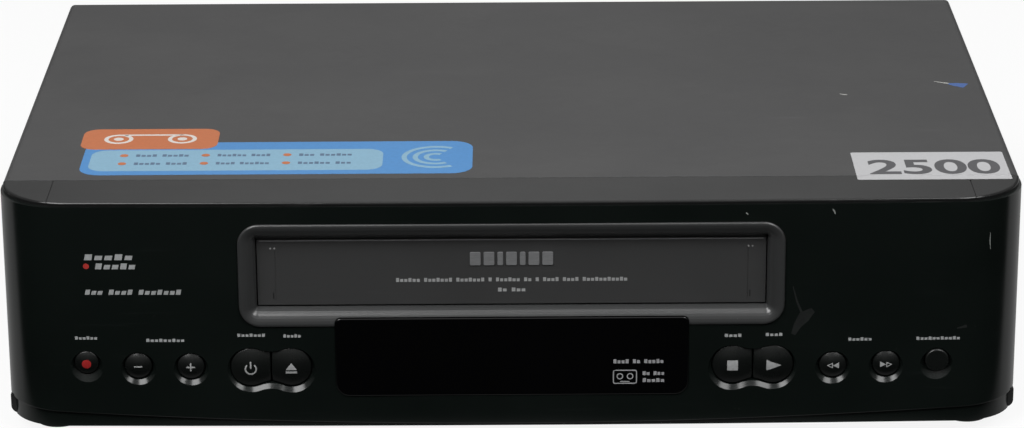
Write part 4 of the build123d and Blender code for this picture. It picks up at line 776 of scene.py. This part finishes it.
addSticker(shape, [([whole], 0), ([field], 1), (waves, 1), (rows, 4), (spots, 2)])
finishPiece("promo_strip", "case", shape, stickerInks)

t0, t1, s0, s1 = promoTab["place"]
middle = (s0 + s1) / 2
reels = []
for x in (t0 + promoTab["in"], t1 - promoTab["in"]):
    reels += ring(*promoTab["reel"], x=x, z=middle) + disc(promoTab["hub"], x, middle, 2, 18)
tapeWide, tapeUp = promoTab["tape"]
reels += bar(t1 - t0 - 2 * promoTab["in"], tapeWide, (t0 + t1) / 2, middle + tapeUp)
whole = roundedOutline(t0, t1, s0, s1, promoTab["corner"])
shape = bmesh.new()
addLayer(shape, "top", ["top_cover"], [whole], lift=promoTab["lift"], thick=promoTab["thick"], slot=2)
addLayer(shape, "top", ["top_cover"], reels, lift=promoTab["inkLift"], thick=promoTab["inkThick"], slot=3)
finishPiece("promo_tab", "case", shape, stickerInks)


stockLabel = {
    "paper": (0.5, 0.5, 0.51), "ink": (0.085, 0.085, 0.09), "text": "2500", "bold": 0.022,
    "box": (129.0, 186.6, -111.2, -79.2), "digits": (49.5, 17.0), "place": (159.0, -96.4), "rows": 16,
    "corner": (0.6, 0.5), "thick": 0.05, "inkLift": 0.045, "inkThick": 0.03,
}


def digitFaces(text, wide, tall):
    curve = bpy.data.curves.new("digits", "FONT")
    curve.body, curve.offset, curve.resolution_u = text, stockLabel["bold"], 6
    holder = bpy.data.objects.new("digits", curve)
    mesh = bpy.data.meshes.new_from_object(holder)
    xs = [vert.co.x for vert in mesh.vertices]
    zs = [vert.co.y for vert in mesh.vertices]
    growX, growZ = wide / (max(xs) - min(xs)), tall / (max(zs) - min(zs))
    places = [((x - min(xs)) * growX - wide / 2, (z - min(zs)) * growZ - tall / 2) for x, z in zip(xs, zs)]
    faces = [[places[k] for k in face.vertices] for face in mesh.polygons]
    bpy.data.objects.remove(holder)
    bpy.data.meshes.remove(mesh)
    return faces


paperLook = inkLook(stockLabel["paper"], 0.5, 0.03, dust=(0.05, 0.15), grain=0.006)
labelPaper = makeFinish("labelPaper", paperLook)
labelInk = makeFinish("labelInk", inkLook(stockLabel["ink"], 0.45, 0.08))
x0, x1, y0, y1 = stockLabel["box"]
inX, inY = stockLabel["corner"]
levels = [y0 + (y1 - y0) * row / stockLabel["rows"] for row in range(stockLabel["rows"] + 1)]
levels = [y0, y0 + inY] + levels[1:-1] + [y1 - inY, y1]
ins = [inX] + [0.0] * (len(levels) - 2) + [inX]
left = [(x0 + inset, y) for inset, y in zip(ins, levels)]
right = [(x1 - inset, y) for inset, y in zip(ins, levels)]
digits = digitFaces(stockLabel["text"], *stockLabel["digits"])
under = ["top_cover", "top_trim"]
shape = bmesh.new()
addLayer(shape, "top", under, band(left, right), thick=stockLabel["thick"])
addLayer(
    shape, "top", under, digits, stockLabel["place"], stockLabel["inkLift"], stockLabel["inkThick"], slot=1)
finishPiece("stock_label", "case", shape, [labelPaper, labelInk])

ratingPlate = {
    "colour": (0.42, 0.42, 0.42), "place": (12.0, 40.0), "half": (34.0, 13.0), "corner": 2, "lift": 0.12,
    "thick": 0.14,
}
foilLook = inkLook(ratingPlate["colour"], 0.36, 0.05, dust=(0.05, 0.1), metallic=0.6)
plateFoil = makeFinish("plateFoil", foilLook)
halfX, halfZ = ratingPlate["half"]
plate = roundedOutline(-halfX, halfX, -halfZ, halfZ, ratingPlate["corner"])
shape = bmesh.new()
addLayer(
    shape, "back", ["rear_panel"], [plate], ratingPlate["place"], ratingPlate["lift"], ratingPlate["thick"])
finishPiece("rating_plate", "case", shape, [plateFoil])
print("stickers made")


# marks of use: each has the points it runs through and its width at each of them
usedMarks = {
    "blue": (0.06, 0.13, 0.36), "pale": (0.42, 0.42, 0.4), "panel": (0.22, 0.23, 0.22),
    "scuff": (0.0095, 0.011, 0.0105),
    "cover": [
        ([(176.0, 6.3), (178.0, 5.6), (180.6, 4.6), (182.6, 3.6)], (1.2, 3.6, 5.0, 6.0), 0),
        ([(170.6, 9.8), (173.0, 8.2), (176.2, 6.8)], (0.3, 0.9, 1.1), 1),
        ([(131.4, -6.2), (132.8, -7.0), (134.2, -7.4)], (0.5, 1.0, 0.4), 1),
    ],
    "scratches": [
        ([(176.6, 79.6), (176.5, 76.4), (176.8, 73.2)], (0.15, 0.4, 0.15)),
        ([(118.0, 90.2), (118.6, 89.4), (119.0, 88.2)], (0.3, 0.6, 0.3)),
        ([(86.2, 89.0), (87.0, 88.4)], (0.5, 0.4)),
    ],
    "scuffs": [
        ([(104.4, 41.0), (106.0, 44.6), (108.4, 48.0), (111.6, 50.6)], (1.6, 3.0, 4.6, 2.0)),
        ([(104.0, 60.0), (105.6, 54.0), (107.4, 49.6)], (0.3, 0.7, 0.9)),
        ([(165.4, 42.6), (168.6, 43.4), (172.2, 43.2)], (0.4, 1.1, 0.4)),
    ],
}
penInk = makeFinish("penInk", inkLook(usedMarks["blue"], 0.4))
paleScratch = makeFinish("paleScratch", inkLook(usedMarks["pale"], 0.5))
panelScratch = makeFinish("panelScratch", inkLook(usedMarks["panel"], 0.5))
panelScuff = makeFinish("panelScuff", inkLook(usedMarks["scuff"], 0.45, 0.3))


def streak(points, widths):
    left, right = [], []
    for k, ((x, z), wide) in enumerate(zip(points, widths)):
        before, after = points[max(k - 1, 0)], points[min(k + 1, len(points) - 1)]
        length = math.hypot(after[0] - before[0], after[1] - before[1])
        acrossX, acrossZ = -(after[1] - before[1]) / length, (after[0] - before[0]) / length
        left.append((x + acrossX * wide / 2, z + acrossZ * wide / 2))
        right.append((x - acrossX * wide / 2, z - acrossZ * wide / 2))
    return band(left, right)


shape = bmesh.new()
for points, widths, slot in usedMarks["cover"]:
    addLayer(shape, "top", ["top_cover"], streak(points, widths), lift=prints["lowLift"], slot=slot)
finishPiece("cover_marks", "case", shape, [penInk, paleScratch])
shape = bmesh.new()
for points, widths in usedMarks["scratches"]:
    addLayer(shape, "front", ["front_panel"], streak(points, widths), lift=prints["lowLift"])
for points, widths in usedMarks["scuffs"]:
    addLayer(shape, "front", ["front_panel"], streak(points, widths), lift=prints["scuffLift"], slot=1)
finishPiece("panel_scratches", "case", shape, [panelScratch, panelScuff])
print("marks of use made")


# camera, light and floor
mainView = {
    "place": (-0.0005, -1.4178, 0.5469), "pitch": 19.614, "yaw": -0.035, "roll": -0.327, "lens": 130.7,
    "sight": 50,
}
softBoxes = {
   
    "leftBox": {"place": (-0.63, -0.88, 1.15), "aim": (0, -0.05, 0.05), "size": (0.8, 0.8), "power": 15.0},
    "rightBox": {"place": (0.72, -0.88, 1.15), "aim": (0, -0.05, 0.05), "size": (0.75, 0.8), "power": 11.1},
    "backLight": {"place": (0.0, 1.3, 1.6), "aim": (0, 0.05, 0.05), "size": (1.8, 0.6), "power": 2.4},
}
studio = {
    "fill": 0.27, "background": 1.0, "floorColour": (0.93, 0.93, 0.93), "floorGlow": 0.89,
    "floorSize": 14.0, "floorRoughness": 0.8, "floorSpecular": 0.1,
}
glossRoom = {  # grey cards round the machine, and what they show in its gloss
    "radius": 3.0, "sides": 48, "wallHeight": 5.0, "wallFade": (0.6, 1.25), "low": 0.14, "grey": 0.46,
    "sideFade": 0.7, "sideLeast": 0.6, "floorLift": 0.0006, "floorGrey": 0.4, "darkFrom": -0.1335,
    "darkBy": -0.1535, "darkCurve": 0.3, "darkReach": 1.3, "darkFade": 0.3, "shade": (0.2, 0.32),
    "shadeStretch": 1.4,
}


def placeCamera():
    pitch, yaw, roll = (math.radians(mainView[key]) for key in ("pitch", "yaw", "roll"))
    turn = Matrix.Rotation(yaw, 3, "Z")
    forward = turn @ Vector((0, math.cos(pitch), -math.sin(pitch)))
    up = turn @ Vector((0, math.sin(pitch), math.cos(pitch)))
    right = turn @ Vector((1, 0, 0))
    across = right * math.cos(roll) + up * math.sin(roll)
    upward = up * math.cos(roll) - right * math.sin(roll)
    camera = bpy.data.objects.new("mainCamera", bpy.data.cameras.new("mainCamera"))
    camera.matrix_world = Matrix((across, upward, -forward)).transposed().to_4x4()
    camera.location = mainView["place"]
    camera.data.lens = mainView["lens"]
    camera.data.clip_end = mainView["sight"]
    bpy.context.scene.collection.objects.link(camera)
    bpy.context.scene.camera = camera


def placeLights():
    for name, box in softBoxes.items():
        data = bpy.data.lights.new(name, "AREA")
        data.shape = "RECTANGLE"
        data.size, data.size_y = box["size"]
        data.energy = box["power"]
        lamp = bpy.data.objects.new(name, data)
        lamp.location = box["place"]
        aim = Vector(box["aim"]) - Vector(box["place"])
        lamp.rotation_euler = aim.to_track_quat("-Z", "Y").to_euler()
        bpy.context.scene.collection.objects.link(lamp)


def seenDirectly(tree):  # 1 for rays that show the background: from the camera, a mirror or glass
    path = addNode(tree, "ShaderNodeLightPath")
    seen = mathNode(tree, "MAXIMUM", path.outputs["Is Camera Ray"], path.outputs["Is Glossy Ray"])
    return mathNode(tree, "MAXIMUM", seen, path.outputs["Is Transmission Ray"])


def makeWorld():
    world = bpy.data.worlds.new("paleStudio")
    world.use_nodes = True
    tree = world.node_tree
    strength = rangeNode(tree, seenDirectly(tree), 0.0, 1.0, studio["fill"], studio["background"])
    plug(tree, (1.0, 1.0, 1.0, 1.0), tree.nodes["Background"].inputs["Color"])
    plug(tree, strength, tree.nodes["Background"].inputs["Strength"])
    bpy.context.scene.world = world


def stageSheet(name, corners, faces, material):
    mesh = bpy.data.meshes.new(name)
    mesh.from_pydata(corners, [], faces)
    mesh.materials.append(material)
    sheet = bpy.data.objects.new(name, mesh)
    bpy.context.scene.collection.objects.link(sheet)
    return sheet


def makeFloor():
    material = bpy.data.materials.new("paleFloor")
    material.use_nodes = True
    tree = material.node_tree
    shader = tree.nodes["Principled BSDF"]
    plug(tree, withAlpha(studio["floorColour"]), shader.inputs["Base Color"])
    shader.inputs["Roughness"].default_value = studio["floorRoughness"]
    shader.inputs["Specular IOR Level"].default_value = studio["floorSpecular"]
    glow = addNode(tree, "ShaderNodeEmission")
    blend = addNode(tree, "ShaderNodeMixShader")
    plug(tree, mathNode(tree, "MULTIPLY", seenDirectly(tree), studio["floorGlow"]), blend.inputs[0])
    tree.links.new(shader.outputs[0], blend.inputs[1])
    tree.links.new(glow.outputs[0], blend.inputs[2])
    tree.links.new(blend.outputs[0], tree.nodes["Material Output"].inputs["Surface"])
    size = studio["floorSize"] / 2
    corners = [(-size, -size, 0), (size, -size, 0), (size, size, 0), (-size, size, 0)]
    stageSheet("paleFloor", corners, [(0, 1, 2, 3)], material)


def hideCard(card, diffuse):
    card.visible_camera = False
    card.visible_diffuse = diffuse
    card.visible_shadow = False
    card.visible_transmission = False


def newCardGlow(name):
    material = bpy.data.materials.new(name)
    material.use_nodes = True
    tree = material.node_tree
    tree.nodes.remove(tree.nodes["Principled BSDF"])
    glow = addNode(tree, "ShaderNodeEmission")
    place = addNode(tree, "ShaderNodeSeparateXYZ")
    plug(tree, addNode(tree, "ShaderNodeTexCoord").outputs["Object"], place.inputs[0])
    return material, tree, glow, place.outputs


def makeFloorCard(points):  # black in front of the machine, grey elsewhere
    material, tree, glow, place = newCardGlow("floorCard")
    grey, reach = glossRoom["floorGrey"], -glossRoom["darkReach"]
    square = mathNode(tree, "MULTIPLY", place[0], place[0])
    depth = mathNode(tree, "SUBTRACT", place[1], mathNode(tree, "MULTIPLY", square, glossRoom["darkCurve"]))
    near = rangeNode(tree, depth, glossRoom["darkBy"], glossRoom["darkFrom"], 0.0, grey)
    far = rangeNode(tree, place[1], reach - glossRoom["darkFade"], reach, grey, 0.0)
    spread = addNode(tree, "ShaderNodeCombineXYZ")
    plug(tree, place[0], spread.inputs[0])
    plug(tree, mathNode(tree, "MULTIPLY", place[1], glossRoom["shadeStretch"]), spread.inputs[1])
    distance = addNode(tree, "ShaderNodeVectorMath", operation="LENGTH")
    plug(tree, spread.outputs[0], distance.inputs[0])
    outside = rangeNode(tree, distance.outputs["Value"], *glossRoom["shade"])  # painted shadow: the card's glow fades out under the machine
    glossy = addNode(tree, "ShaderNodeLightPath").outputs["Is Glossy Ray"]
    shown = mathNode(tree, "MAXIMUM", outside, glossy)
    level = mathNode(tree, "MULTIPLY", mathNode(tree, "MAXIMUM", near, far), shown)
    plug(tree, level, glow.inputs["Strength"])
    clear = addNode(tree, "ShaderNodeBsdfTransparent")
    blend = addNode(tree, "ShaderNodeMixShader")
    tree.links.new(addNode(tree, "ShaderNodeNewGeometry").outputs["Backfacing"], blend.inputs[0])
    tree.links.new(glow.outputs[0], blend.inputs[1])
    tree.links.new(clear.outputs[0], blend.inputs[2])
    tree.links.new(blend.outputs[0], tree.nodes["Material Output"].inputs["Surface"])
    corners = [(x, y, glossRoom["floorLift"]) for x, y in points]
    hideCard(stageSheet("floorCard", corners, [tuple(range(len(corners)))], material), True)


def makeWallCard(points):
    material, tree, glow, place = newCardGlow("wallCard")
    level = rangeNode(tree, place[2], *glossRoom["wallFade"], glossRoom["low"], glossRoom["grey"])
    square = mathNode(tree, "MULTIPLY", place[0], place[0])
    aside = mathNode(tree, "MULTIPLY", square, glossRoom["sideFade"])
    fade = mathNode(tree, "MAXIMUM", mathNode(tree, "SUBTRACT", 1.0, aside), glossRoom["sideLeast"])
    plug(tree, mathNode(tree, "MULTIPLY", level, fade), glow.inputs["Strength"])
    tree.links.new(glow.outputs[0], tree.nodes["Material Output"].inputs["Surface"])
    corners = [(x, y, z) for z in (0, glossRoom["wallHeight"]) for x, y in points]
    count = len(points)
    faces = [(k, (k + 1) % count, count + (k + 1) % count, count + k) for k in range(count)]
    hideCard(stageSheet("wallCard", corners, faces, material), False)


placeCamera()
placeLights()
makeWorld()
makeFloor()
ringPoints = around(glossRoom["radius"], steps=glossRoom["sides"])[:-1]
makeFloorCard(ringPoints)
makeWallCard(ringPoints)
bpy.context.scene.view_settings.view_transform = "Standard"
print("camera, light and floor placed")
